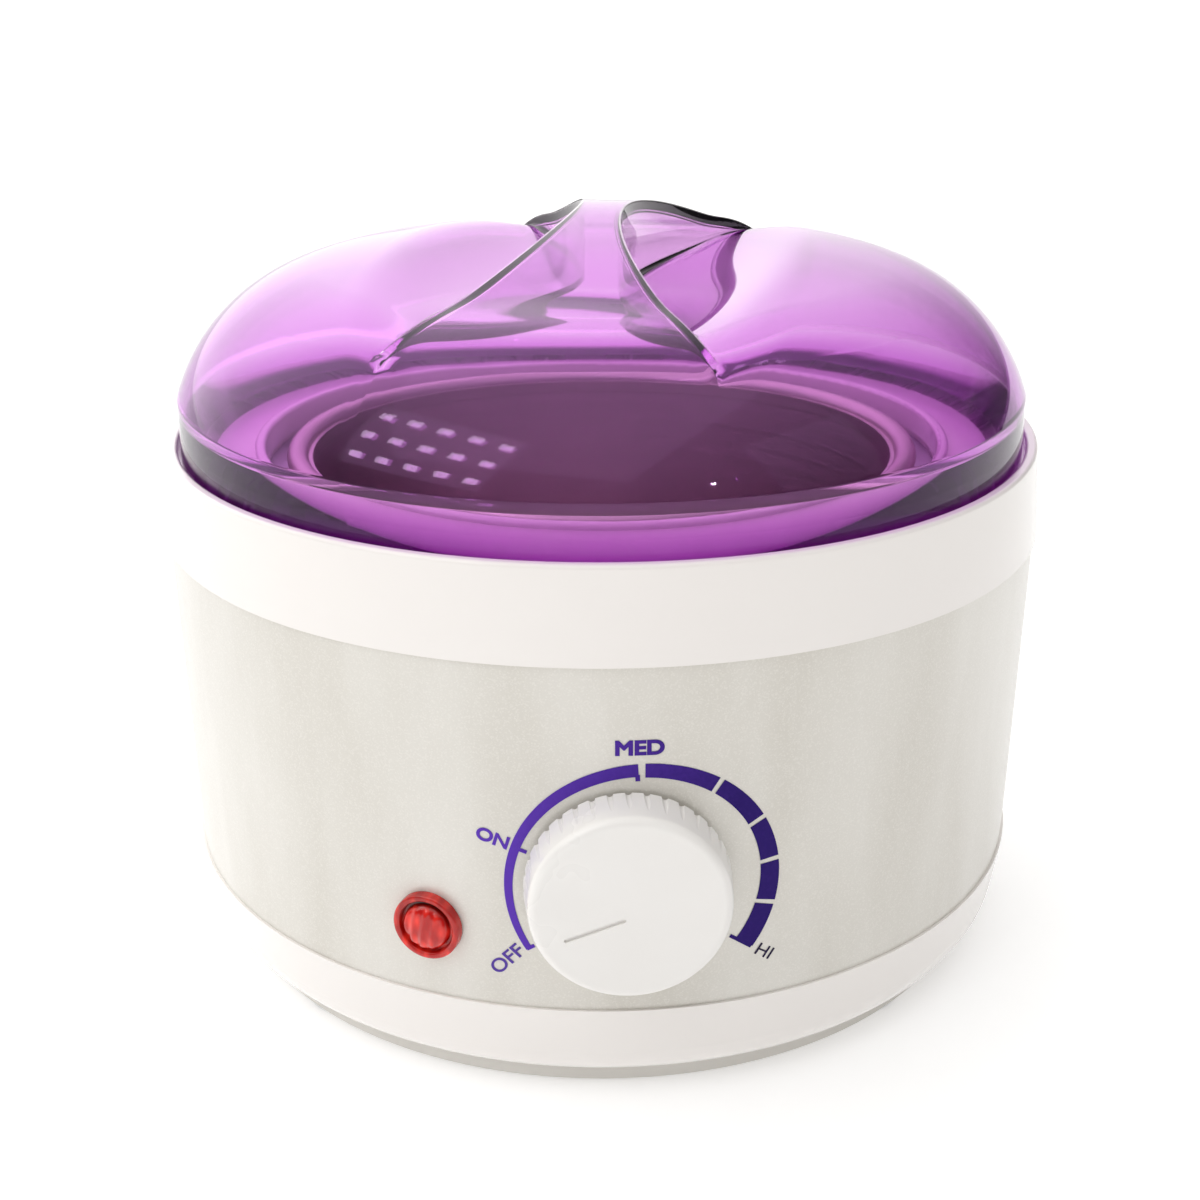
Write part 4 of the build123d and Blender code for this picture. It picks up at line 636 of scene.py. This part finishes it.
@dataclass
class HeatScale(SubAssembly):
    """Printed heat scale: a tapering line from OFF to MED, five blocks up to HI, ticks and words."""

    foot_radius: float = 88.3  # the band's radius at its foot
    flare: float = 1.0
    across: float = 7.2  # the scale's middle, along the skin from the front
    height: float = 46.1
    radius: float = 24.4
    film: float = 0.05  # thickness of the ink
    stretch: float = 1.12  # width of the letters against that of the plain face
    arc_step: float = 2.5  # degrees from one pair of vertices to the next
    rough_width: float = 1.0  # width that an arc is first drawn with
    line_ends: Pair = (211.9, 92.9)  # degrees from the right, at OFF and at MED
    line_widths: Pair = (1.2, 2.4)
    block_ends: Pair = (90.0, -35.6)  # at MED and at HI
    block_widths: Pair = (2.6, 3.9)
    blocks: tuple[Pair, ...] = ((90.0, 58.1), (55.9, 30.8), (28.6, 8.9), (6.7, -12.6), (-14.8, -35.6))
    ticks: tuple[tuple[float, float, float, float], ...] = (  # angle, inner and outer end, width
        (93.4, 21.2, 22.4, 0.8), (161.0, 21.4, 24.2, 0.7), (211.6, 22.6, 24.2, 0.7), (-35.9, 19.2, 24.2, 0.7),
    )
    tick_lift: float = 0.01  # keeps the ticks clear of the line that they cross
    corner_limit: float = 0.6  # keeps fattened letters from growing spikes at their corners
    words: tuple[Word, ...] = (
        Word("MED", 3.7, 0.16, (6.2, 73.4), 0, INK), Word("ON", 3.4, 0.12, (-19.0, 55.2), -17.7, INK),
        Word("OFF", 3.8, 0.05, (-17.0, 30.8), 46, INK_FINE), Word("HI", 3.5, 0.0, (29.4, 30.2), -33, INK_FINE),
    )

    def wrap(self, shape: Shape) -> None:
        """Bend a flat drawing onto the tapered band.

        Args:
            shape: the drawing, in millimetres along and up the skin.
        """
        foot, head = (corner.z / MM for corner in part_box("body_band"))
        for vert in shape.verts:
            radius = self.foot_radius + self.flare * (vert.co.y - foot) / (head - foot) + self.film + vert.co.z
            angle = vert.co.x / self.foot_radius
            vert.co = Vector((radius * sin(angle), -radius * cos(angle), vert.co.y)) * MM

    def arc(self, shape: Shape, ends: Pair, widths: Pair) -> None:
        """Draw one arc of the scale.

        Args:
            shape: the flat drawing.
            ends: angles of its ends, in degrees from the right.
            widths: its width at each end, measured inwards.
        """
        start, sweep = radians(ends[0]), ends[1] - ends[0]
        step = Vector((cos(start), sin(start), 0))
        pair = [shape.verts.new(step * reach) for reach in (self.radius - self.rough_width, self.radius)]
        bmesh.ops.spin(
            shape, geom=[*pair, shape.edges.new(pair)], cent=(0, 0, 0), axis=(0, 0, 1), angle=radians(sweep),
            steps=max(2, round(abs(sweep) / self.arc_step)), use_duplicate=False,
        )
        way = copysign(1.0, sweep)
        for vert in (v for v in shape.verts if not v.tag):
            vert.tag = True
            gone = (way * (degrees(atan2(vert.co.y, vert.co.x)) - ends[0]) + 1) % 360 - 1
            if vert.co.length < self.radius - self.rough_width / 2:
                vert.co.length = self.radius - between(widths, gone / abs(sweep))

    def drawing(self) -> Shape:
        """Return the scale as a flat drawing about its own middle."""
        shape = bmesh.new()
        self.arc(shape, self.line_ends, self.line_widths)
        first, last = self.block_ends
        for block in self.blocks:
            widths = tuple(between(self.block_widths, (first - end) / (first - last)) for end in block)
            self.arc(shape, block, widths)
        for angle, inner, outer, width in self.ticks:
            made = bmesh.ops.create_grid(shape, x_segments=1, y_segments=1, size=0.5)["verts"]
            bmesh.ops.scale(shape, verts=made, vec=(outer - inner, width, 1))
            bmesh.ops.translate(shape, verts=made, vec=((outer + inner) / 2, 0, self.tick_lift))
            turn_about_axis(shape, made, angle)
        bmesh.ops.translate(shape, verts=shape.verts, vec=(self.across, self.height, 0))
        bmesh.ops.recalc_face_normals(shape, faces=shape.faces)
        return shape

    def lettering(self, word: Word) -> Shape:
        """Draw one word flat.

        Args:
            word: the word.

        Returns:
            The flat drawing.
        """
        curve = bpy.data.curves.new(word.text, "FONT")
        curve.body, curve.size = word.text, word.size
        curve.align_x, curve.align_y = "CENTER", "CENTER"
        holder = new_object(word.text, curve)
        bpy.context.view_layer.update()
        flat = bpy.data.meshes.new_from_object(holder.evaluated_get(bpy.context.evaluated_depsgraph_get()))
        shape = bmesh.new()
        shape.from_mesh(flat)
        self.fatten(shape, word.bold)
        bpy.data.objects.remove(holder)
        bpy.data.meshes.remove(flat)
        bpy.data.curves.remove(curve)
        bmesh.ops.scale(shape, verts=shape.verts, vec=(self.stretch, 1, 1))
        turn_about_axis(shape, shape.verts, word.lean)
        bmesh.ops.translate(shape, verts=shape.verts, vec=(*word.middle, 0))
        return shape

    def fatten(self, shape: Shape, amount: float) -> None:
        """Move the outline of flat letters outwards.

        Args:
            shape: the letters.
            amount: how far each edge of the outline moves.
        """
        push = {vert: Vector((0, 0, 0)) for vert in shape.verts if vert.is_boundary}
        for edge in (e for e in shape.edges if e.is_boundary):
            first, second = edge.verts
            out = (second.co - first.co).cross(Vector((0, 0, 1))).normalized()
            if out.dot(edge.link_faces[0].calc_center_median() - first.co) > 0:
                out.negate()
            push[first] += out
            push[second] += out
        for vert, way in push.items():
            vert.co += way.normalized() * amount / max(self.corner_limit, way.length / 2)

    def print_piece(self, name: str, shape: Shape, ink: PrintedInk) -> None:
        """Wrap a flat drawing onto the band and give the ink its thickness.

        Args:
            name: the piece's name.
            shape: the drawing.
            ink: its finish.
        """
        self.wrap(shape)
        made = piece(name, shape, ink, self.body)
        film = made.modifiers.new("film", "SOLIDIFY")
        film.thickness, film.offset = self.film * MM, 0.0

    def add_pieces(self) -> None:
        """Print the scale and its words."""
        self.print_piece("heat_scale", self.drawing(), INK)
        for word in self.words:
            self.print_piece(f"word_{word.text.lower()}", self.lettering(word), word.ink)


@dataclass
class ControlKnob(SubAssembly):
    """Ribbed heat knob with its shaft and spring."""

    body: str = "knob"

    def dressing(self) -> dict[str, Finish]:
        """Return the knob's finishes."""
        return {"knob": KNOB_WHITE, "knob_spring": STRIP, "control_shaft": ZINC}


@dataclass
class PilotLamp(SubAssembly):
    """Red pilot lamp: raised rim, a groove that its finish fills with painted shade, and a domed face with upright
    prisms.

    Heights in the lens's section are over its seat on the skin.
    """

    turn: float = -20.4
    height: float = 36.0
    skin: float = 88.64  # radius at which the lens's flange sits
    dome_middle: Pair = (0.0, 1.15)
    dome_half: Pair = (4.45, 1.65)
    groove: tuple[Pair, ...] = ((4.55, 0.85), (4.95, 0.8), (5.1, 1.0))
    rim_middle: Pair = (5.75, 1.45)
    rim_half: Pair = (0.62, 0.4)
    outer: float = 6.4
    barrel: float = 4.8
    barrel_length: float = 14.1
    barrel_wall: float = 1.0
    hollow: float = 1.0  # height of the hollow behind the dome
    sides: int = 96
    weld: float = 0.001
    prism_pitch: float = 1.95
    prism_height: float = 0.32
    prism_lean: float = -10.0
    prism_foot: float = 1.1  # prisms lie above this height
    prism_reach: float = 4.4  # and within this distance of the middle,
    prism_fade: float = 0.6  # over which they run out

    def dressing(self) -> dict[str, Finish]:
        """Return the lamp's finishes."""
        return {
            "lamp_retainer": STRIP, "lamp_cap": COVER_WHITE, "neon_lamp": NEON_GLASS, "lamp_resistor": RESISTOR,
            "lamp_feed_wire": WIRE_WHITE, "lamp_return_wire": WIRE_BLUE,
        }

    def bow(self, middle: Pair, half: Pair, angles: range) -> list[Pair]:
        """Return an arc of an ellipse, through angles in degrees from its left end over the top."""
        turns = [radians(angle) for angle in angles]
        return [(middle[0] - half[0] * cos(a), middle[1] + half[1] * sin(a)) for a in turns]

    def profile(self) -> list[Pair]:
        """Return the lens's half section, as radius and height over its seat."""
        bore = self.barrel - self.barrel_wall
        return [
            *self.bow(self.dome_middle, self.dome_half, range(90, 181, 5)), *self.groove,
            *self.bow(self.rim_middle, self.rim_half, range(0, 181, 20)), (self.outer, 0.0), (self.barrel, 0.0),
            (self.barrel, -self.barrel_length), (bore, -self.barrel_length), (bore, 0.0), (0.0, self.hollow),
        ]

    def add_pieces(self) -> None:
        """Spin the lens and raise its prisms."""
        shape = bmesh.new()
        verts = [shape.verts.new((r, 0, h)) for r, h in self.profile()]
        edges = [shape.edges.new(pair) for pair in zip(verts, verts[1:])]
        bmesh.ops.spin(
            shape, geom=[*verts, *edges], cent=(0, 0, 0), axis=(0, 0, 1), angle=tau, steps=self.sides,
            use_merge=True, use_duplicate=False,
        )
        bmesh.ops.remove_doubles(shape, verts=shape.verts, dist=self.weld)
        bmesh.ops.recalc_face_normals(shape, faces=shape.faces)
        a = radians(self.prism_lean)
        for vert in shape.verts:
            inside = self.prism_reach - vert.co.xy.length
            if vert.co.z > self.prism_foot and inside > 0:
                along = (vert.co.x * cos(a) + vert.co.y * sin(a)) / self.prism_pitch
                wave = 0.5 + 0.5 * cos(tau * along)
                vert.co.z += self.prism_height * wave * min(1.0, inside / self.prism_fade)
        bmesh.ops.transform(shape, matrix=outward_frame(self.turn, self.skin, self.height), verts=shape.verts)
        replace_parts(piece("pilot_lens", shape, LENS_RED, self.body, 50), "indicator_lens")


# --- Pot, lid and heater ---


@dataclass
class WaxPot(SubAssembly):
    """Spun aluminium pot that lifts out."""

    body: str = "pot"

    def dressing(self) -> dict[str, Finish]:
        """Return the pot's finish."""
        return {"wax_pot": POT_ALUMINIUM}


@dataclass
class Lid(SubAssembly):
    """Clear purple lid: a skirt, a rounded dome and a waisted handle between two finger scoops.

    The shell is drawn twice, once for its outside and once for its inside, which is set in by the wall.
    Each side is a grid whose columns follow the handle's flanks, with rings around it down to the rim.
    An inset of zero means the outside. Plan coordinates are the handle's own, with Y along it.
    """

    body: str = "lid"
    wall: float = 2.0
    web: float = 0.45  # wall of the handle's flanks
    foot_wall: float = 6.4  # wall at the rim: it thickens down the skirt
    foot_rise: float = 10.0  # how far up the skirt that thickening begins
    skirt_height: float = 12.2
    skirt_draft: float = 0.2
    skirt_round: float = 0.3  # between the skirt and the dome
    shoulder_radius: float = 36.7
    shoulder_drop: float = 12.2
    dome_rise: float = 28.8
    crest_radius: float = 140.0
    handle_turn: float = 8.0
    waist: float = 4.8  # half of the handle's least width
    waist_radius: float = 100.0
    scoop_depth: float = 11.8
    scoop_round: float = 37.0
    scoop_sweep: float = 700.0
    scoop_offset: float = 10.0
    scoop_blend: float = 12.0  # height over which a scoop runs out into the dome
    crest_blend: float = 1.5
    flank_rounds: Pair = (0.45, 1.6)  # at the crest and at the scoop's floor
    inner_crest_round: float = 1.0
    low_flank: float = 2.2  # a round is at most the flank's height over this
    patch_radius: float = 71.5  # where the grid ends and the rings begin
    patch_inset: float = 0.65  # share of an inset by which the grid's edge moves in
    patch_corner: float = 40.0  # degrees along that edge to the grid's corners
    rows: int = 140
    columns: tuple[int, int, int] = (20, 14, 36)  # across the handle, down a flank and across a side
    rings: int = 14
    weld: float = 0.002
    pinch: float = 0.25  # columns nearer than this run together where the handle's flanks die out

    def __post_init__(self) -> None:
        """Work out the section of the dome."""
        foot, head = (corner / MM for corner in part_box("lid"))
        self.seat, self.crest_top, self.rim_radius = foot.z, head.z, head.x
        skirt_top = self.seat + self.skirt_height
        self.dome_top = skirt_top + self.dome_rise
        self.shoulder_z = skirt_top - self.shoulder_drop
        drop = sqrt(self.shoulder_radius**2 - self.shoulder_drop**2)
        self.shoulder_r = self.rim_radius - self.skirt_draft - drop
        gap = self.dome_top - self.shoulder_z
        self.crown = (self.shoulder_r**2 + gap**2 - self.shoulder_radius**2) / (2 * (gap - self.shoulder_radius))
        self.crown_z = self.dome_top - self.crown
        self.crown_tilt = atan2(self.shoulder_r, self.shoulder_z - self.crown_z)

    def dressing(self) -> dict[str, Finish]:
        """Return the lid's finish."""
        return {"lid": LID_PURPLE}

    def dome(self, reach: float, inset: float) -> float:
        """Work out the dome's height.

        Args:
            reach: distance from the axis.
            inset: depth under the outer surface.

        Returns:
            The height.
        """
        crown = self.crown - inset
        if reach < crown * sin(self.crown_tilt):
            return self.crown_z + sqrt(crown**2 - reach**2)
        return self.shoulder_z + sqrt((self.shoulder_radius - inset) ** 2 - (reach - self.shoulder_r) ** 2)

    def top(self, x: float, y: float, inset: float) -> float:
        """Height of the handle over a point of the plan."""
        crest = self.crest_top - self.crest_radius + sqrt((self.crest_radius - inset) ** 2 - y**2)
        return -soft_min(-crest, -self.dome(hypot(x, y), inset), self.crest_blend)

    def scooped(self, x: float, y: float, inset: float) -> float:
        """Work out the height of the dome with its scoops.

        Args:
            x: place across the handle.
            y: place along it.
            inset: depth under the outer surface.

        Returns:
            The height.
        """
        tube = self.scoop_round + inset
        across = min(tube, abs(abs(x) - self.scoop_offset))
        reach = self.scoop_sweep - self.scoop_round + sqrt(tube**2 - across**2)
        floor = self.dome_top - self.scoop_depth + self.scoop_sweep - sqrt(reach**2 - y**2)
        return soft_min(floor, self.dome(hypot(x, y), inset), self.scoop_blend)

    def hollow(self, inset: float) -> float:
        """Radius of the handle's waist, which the flank's wall adds to on the inside."""
        return self.waist_radius + min(inset, self.web)

    def flank(self, y: float, inset: float) -> float:
        """Half of the handle's width at a place along it."""
        return self.waist + self.waist_radius - sqrt(self.hollow(inset) ** 2 - y**2)

    def rounds(self, inset: float) -> Pair:
        """Radii at the crest and at the scoop's floor on the outer or the inner side."""
        crest, floor = self.flank_rounds
        return (crest, floor) if inset == 0 else (self.inner_crest_round, floor + self.web)

    def edge(self, inset: float) -> float:
        """Radius of the grid's edge."""
        return self.patch_radius - self.patch_inset * inset

    def plan(self, column: int, v: float, inset: float) -> Place:
        """Place one vertex of the grid.

        Args:
            column: its column, from the left.
            v: its row, from -1 to 1.
            inset: depth under the outer surface.

        Returns:
            Its place in the plan, and its height.
        """
        inner, wall, outer = self.columns
        offset = column - (inner / 2 + wall + outer)
        side, index = (-1 if offset < 0 else 1), abs(offset)
        edge, far = self.edge(inset), self.waist + self.waist_radius
        along = (far**2 + self.hollow(inset) ** 2 - edge**2) / (2 * far)
        x_end, y_end = far - along, sqrt(self.hollow(inset) ** 2 - along**2)
        end_turn = atan2(y_end, x_end)
        y = v * y_end
        x = self.flank(y, inset)
        if index <= inner / 2:
            share = index / (inner / 2)
            turn = between((pi / 2, end_turn), share)
            x = share * x + edge * cos(turn) - share * x_end
            y += v * (edge * sin(turn) - y_end)
            return side * min(x, self.flank(y, inset)), y, self.top(x, y, inset)
        high, low = self.top(x, y, inset), self.scooped(x, y, inset)
        crest_round, floor_round = (min(size, (high - low) / self.low_flank) for size in self.rounds(inset))
        if index <= inner / 2 + wall:
            share = (index - inner / 2) / wall
            turn = pi * min(share, 1 - share)
            out, down = 1 - sin(turn), 1 - cos(turn)
            if share < 0.5:
                return side * (x - crest_round * out), y, high - crest_round * down
            return side * (x + floor_round * out), y, low + floor_round * down
        share = (index - inner / 2 - wall) / outer
        corner = radians(self.patch_corner)
        turn = between((end_turn, corner), share)
        bulge_x = edge * cos(turn) - between((x_end, edge * cos(corner)), share)
        bulge_y = edge * sin(turn) - between((y_end, edge * sin(corner)), share)
        x = between((x + floor_round, edge * cos(v * corner)), share) + bulge_x
        y = between((y, edge * sin(v * corner)), share) + v * bulge_y
        return side * x, y, self.scooped(x, y, inset)

    def section(self, inset: float) -> list[Pair]:
        """Work out the rings from the grid's edge down to the rim.

        Args:
            inset: depth under the outer surface.

        Returns:
            Each ring's radius and height.
        """
        ball = self.shoulder_radius - inset
        skirt = self.seat + (self.foot_rise if inset else self.skirt_height)
        start = acos((self.edge(inset) - self.shoulder_r) / ball)
        end = asin((skirt - self.shoulder_z) / ball)
        turns = [between((start, end), ring / self.rings) for ring in range(1, self.rings)]
        turns += [end + self.skirt_round / ball, end]
        rings = [(self.shoulder_r + ball * cos(a), self.shoulder_z + ball * sin(a)) for a in turns]
        rim = self.rim_radius - (self.foot_wall if inset else 0.0)
        return [*rings, (rings[-1][0], skirt - self.skirt_round), (rim, self.seat)]

    def side(self, shape: Shape, inset: float) -> list[bmesh.types.BMEdge]:
        """Draw one side of the shell.

        Args:
            shape: the mesh that it joins.
            inset: depth under the outer surface.

        Returns:
            The edges of its rim.
        """
        known = set(shape.verts)
        inner, wall, outer = self.columns
        count = inner + 2 * (wall + outer)
        grid = bmesh.ops.create_grid(shape, x_segments=count, y_segments=self.rows, size=1.0)["verts"]
        for vert in grid:
            vert.co = self.plan(round((vert.co.x + 1) / 2 * count), vert.co.y, inset)
        bmesh.ops.remove_doubles(shape, verts=grid, dist=self.weld)
        edge = [vert for vert in shape.verts if vert.is_boundary and vert not in known]
        bmesh.ops.remove_doubles(shape, verts=edge, dist=self.pinch)
        loop = [e for e in shape.edges if e.is_boundary and e.verts[0] not in known]
        for reach, height in self.section(inset):
            made = bmesh.ops.extrude_edge_only(shape, edges=loop)["geom"]
            fresh = {part for part in made if isinstance(part, bmesh.types.BMVert)}
            for vert in fresh:
                scale = reach / vert.co.xy.length
                vert.co = (vert.co.x * scale, vert.co.y * scale, height)
            loop = [part for part in made if isinstance(part, bmesh.types.BMEdge) and set(part.verts) <= fresh]
        return loop

    def add_pieces(self) -> None:
        """Draw both sides of the shell and join them at the rim."""
        shape = bmesh.new()
        rims = self.side(shape, 0) + self.side(shape, self.wall)
        bmesh.ops.bridge_loops(shape, edges=rims)
        bmesh.ops.recalc_face_normals(shape, faces=shape.faces)
        turn_about_axis(shape, shape.verts, -self.handle_turn)
        bmesh.ops.scale(shape, verts=shape.verts, vec=(MM, MM, MM))
        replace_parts(piece("clear_lid", shape, LID_PURPLE, self.body, 40), "lid")


@dataclass
class Heater(SubAssembly):
    """Heated well, its band heater, thermal fuse and heat shield."""

    def dressing(self) -> dict[str, Finish]:
        """Return the heater's finishes."""
        return {
            "heating_well": WELL_ALUMINIUM, "heater_band": SHEATH, "heater_clamp": STRIP, "clamp_screw": ZINC,
            "clamp_nut": ZINC, "heater_terminals": NICKEL, "terminal_collars": STEATITE, "thermal_fuse": FUSE_CAN,
            "fuse_sleeve": BRAID, "fuse_clip": STRIP, "heat_shield": SHIELD_ALUMINIUM, "shield_screws": ZINC,
        }


@dataclass
class Controls(SubAssembly):
    """Thermostat on its bracket, power inlet, terminal block and wiring."""

    def dressing(self) -> dict[str, Finish]:
        """Return the finishes of the electrical parts."""
        return {
            "thermostat_bracket": ZINC, "bracket_screws": ZINC, "thermostat_body": STEATITE,
            "thermostat_tabs": BRASS, "thermostat_bush": BRASS, "thermostat_nut": ZINC, "power_inlet": INLET_BLACK,
            "inlet_pins": NICKEL, "inlet_screws": ZINC, "terminal_block": NYLON, "terminal_sleeves": BRASS,
            "terminal_screws": ZINC, "block_screws": ZINC, "live_supply_wire": WIRE_BROWN,
            "neutral_supply_wire": WIRE_BLUE,
            "fuse_feed_wire": WIRE_BROWN, "thermostat_feed_wire": WIRE_WHITE, "heater_feed_wire": WIRE_WHITE,
            "heater_return_wire": WIRE_BLUE,
        }


# --- Studio ---


@dataclass(frozen=True)
class SoftBox:
    """Rectangular lamp, or a grid of small ones, that faces the warmer. Lengths are in metres."""

    name: str
    turn: float  # degrees to the right of the front
    rise: float  # degrees above the horizon
    away: float  # distance from the warmer
    size: Pair  # width and height
    power: float  # of all its lamps, in watts
    count: tuple[int, int] = (1, 1)  # lamps across and up
    fill: Pair = (1.0, 1.0)  # share of its cell that each lamp takes up
    aim: float = 0.08  # height of the spot that it faces

    def hang(self) -> None:
        """Hang its lamps."""
        a, b = radians(self.turn), radians(self.rise)
        out = Vector((sin(a) * cos(b), -cos(a) * cos(b), sin(b)))
        facing = out.to_track_quat("Z", "Y")
        across, up = self.count
        width, height = self.size[0] / across, self.size[1] / up
        for index in range(across * up):
            name = self.name if across * up == 1 else f"{self.name}_{index}"
            data = bpy.data.lights.new(name, "AREA")
            data.shape, data.energy = "RECTANGLE", self.power / (across * up)
            data.size, data.size_y = width * self.fill[0], height * self.fill[1]
            made = new_object(name, data)
            made.rotation_euler = facing.to_euler()
            column, row = index % across - (across - 1) / 2, index // across - (up - 1) / 2
            shift = facing.to_matrix() @ Vector((column * width, row * height, 0))
            made.location = out * self.away + Vector((0, 0, self.aim)) + shift


@dataclass
class Studio:
    """White paper floor, soft boxes, the room and the camera. Lengths here are in metres."""

    eye: Place = (0.0, -0.345, 0.20125)
    pitch: float = 21.543  # degrees down
    roll: float = 0.17
    lens: float = 51.17
    glow: Place = (-0.5, 0.84, 0.2)  # way to the brightest part of the room
    paper_size: float = 8.0  # half of the floor's width
    lamps: tuple[SoftBox, ...] = (
        SoftBox("panel", -50, 38, 0.9, (0.6, 0.45), 0.5),
        SoftBox("tube", -50, 38, 0.89, (0.6, 0.45), 0.9, (5, 3), (0.45, 0.3)),
        SoftBox("spark", 28, 27, 0.9, (0.016, 0.016), 0.08),
        SoftBox("fill_right", 60, 30, 1.2, (0.6, 0.6), 0.3),
        SoftBox("top", -25, 66, 1.0, (1.2, 1.2), 1.6),
    )

    def camera(self) -> None:
        """Set the camera."""
        data = bpy.data.cameras.new("camera")
        data.lens, data.sensor_width, data.clip_start = self.lens, 36.0, 0.01
        made = new_object("camera", data)
        made.location = self.eye
        made.rotation_euler = (radians(90 - self.pitch), radians(self.roll), 0)
        bpy.context.scene.camera = made

    def surroundings(self) -> None:
        """Paint the room: white to the camera, else bright above and at the glow, and dimmer on the right."""
        world = bpy.data.worlds.new("room")
        world.use_nodes = True
        tree = world.node_tree
        tree.nodes.clear()
        way = add_node(tree, "TexCoord").outputs["Generated"]
        along = axes(tree, way)
        toward = add_node(tree, "VectorMath", {"operation": "DOT_PRODUCT"}, {0: way, 1: self.glow})
        side = remap(tree, along[0], (-1.0, 1.0), (0.2, 0.08))
        far = remap(tree, toward.outputs["Value"], (0.35, 0.95), (0.0, 1.6))
        above = remap(tree, along[2], (0.3, 0.9), (0.0, 0.9))
        light = calculate(tree, "ADD", calculate(tree, "ADD", side, far), above)
        room = add_node(tree, "Background", None, {"Color": (1.0, 0.99, 0.98, 1.0), "Strength": light})
        paper = add_node(tree, "Background", None, {"Color": (1.0, 1.0, 1.0, 1.0), "Strength": 1.1})
        seen = add_node(tree, "LightPath").outputs["Is Camera Ray"]
        both = add_node(tree, "MixShader", None, {0: seen, 1: room.outputs[0], 2: paper.outputs[0]})
        add_node(tree, "OutputWorld", None, {"Surface": both.outputs[0]})
        bpy.context.scene.world = world

    def floor(self) -> None:
        """Lay the paper."""
        shape = bmesh.new()
        bmesh.ops.create_grid(shape, x_segments=1, y_segments=1, size=self.paper_size)
        mesh = bpy.data.meshes.new("paper_floor")
        shape.to_mesh(mesh)
        shape.free()
        mesh.materials.append(StudioPaper("background_paper").material())
        made = new_object("paper_floor", mesh)

    def build(self) -> None:
        """Set up the camera, the room, the floor and the lamps."""
        self.camera()
        self.surroundings()
        self.floor()
        for lamp in self.lamps:
            lamp.hang()
        bpy.context.scene.view_settings.view_transform = "Standard"


def main(groups: Iterable[SubAssembly | Studio]) -> None:
    """Build each group in order.

    Args:
        groups: the studio and the sub-assemblies.
    """
    for group in groups:
        LOG.info("-- %s", type(group).__name__)
        group.build()


if __name__ == "__main__":
    logging.basicConfig(level=logging.INFO, format="%(message)s")
    main([Studio(), Case(), HeatScale(), ControlKnob(), PilotLamp(), WaxPot(), Lid(), Heater(), Controls()])
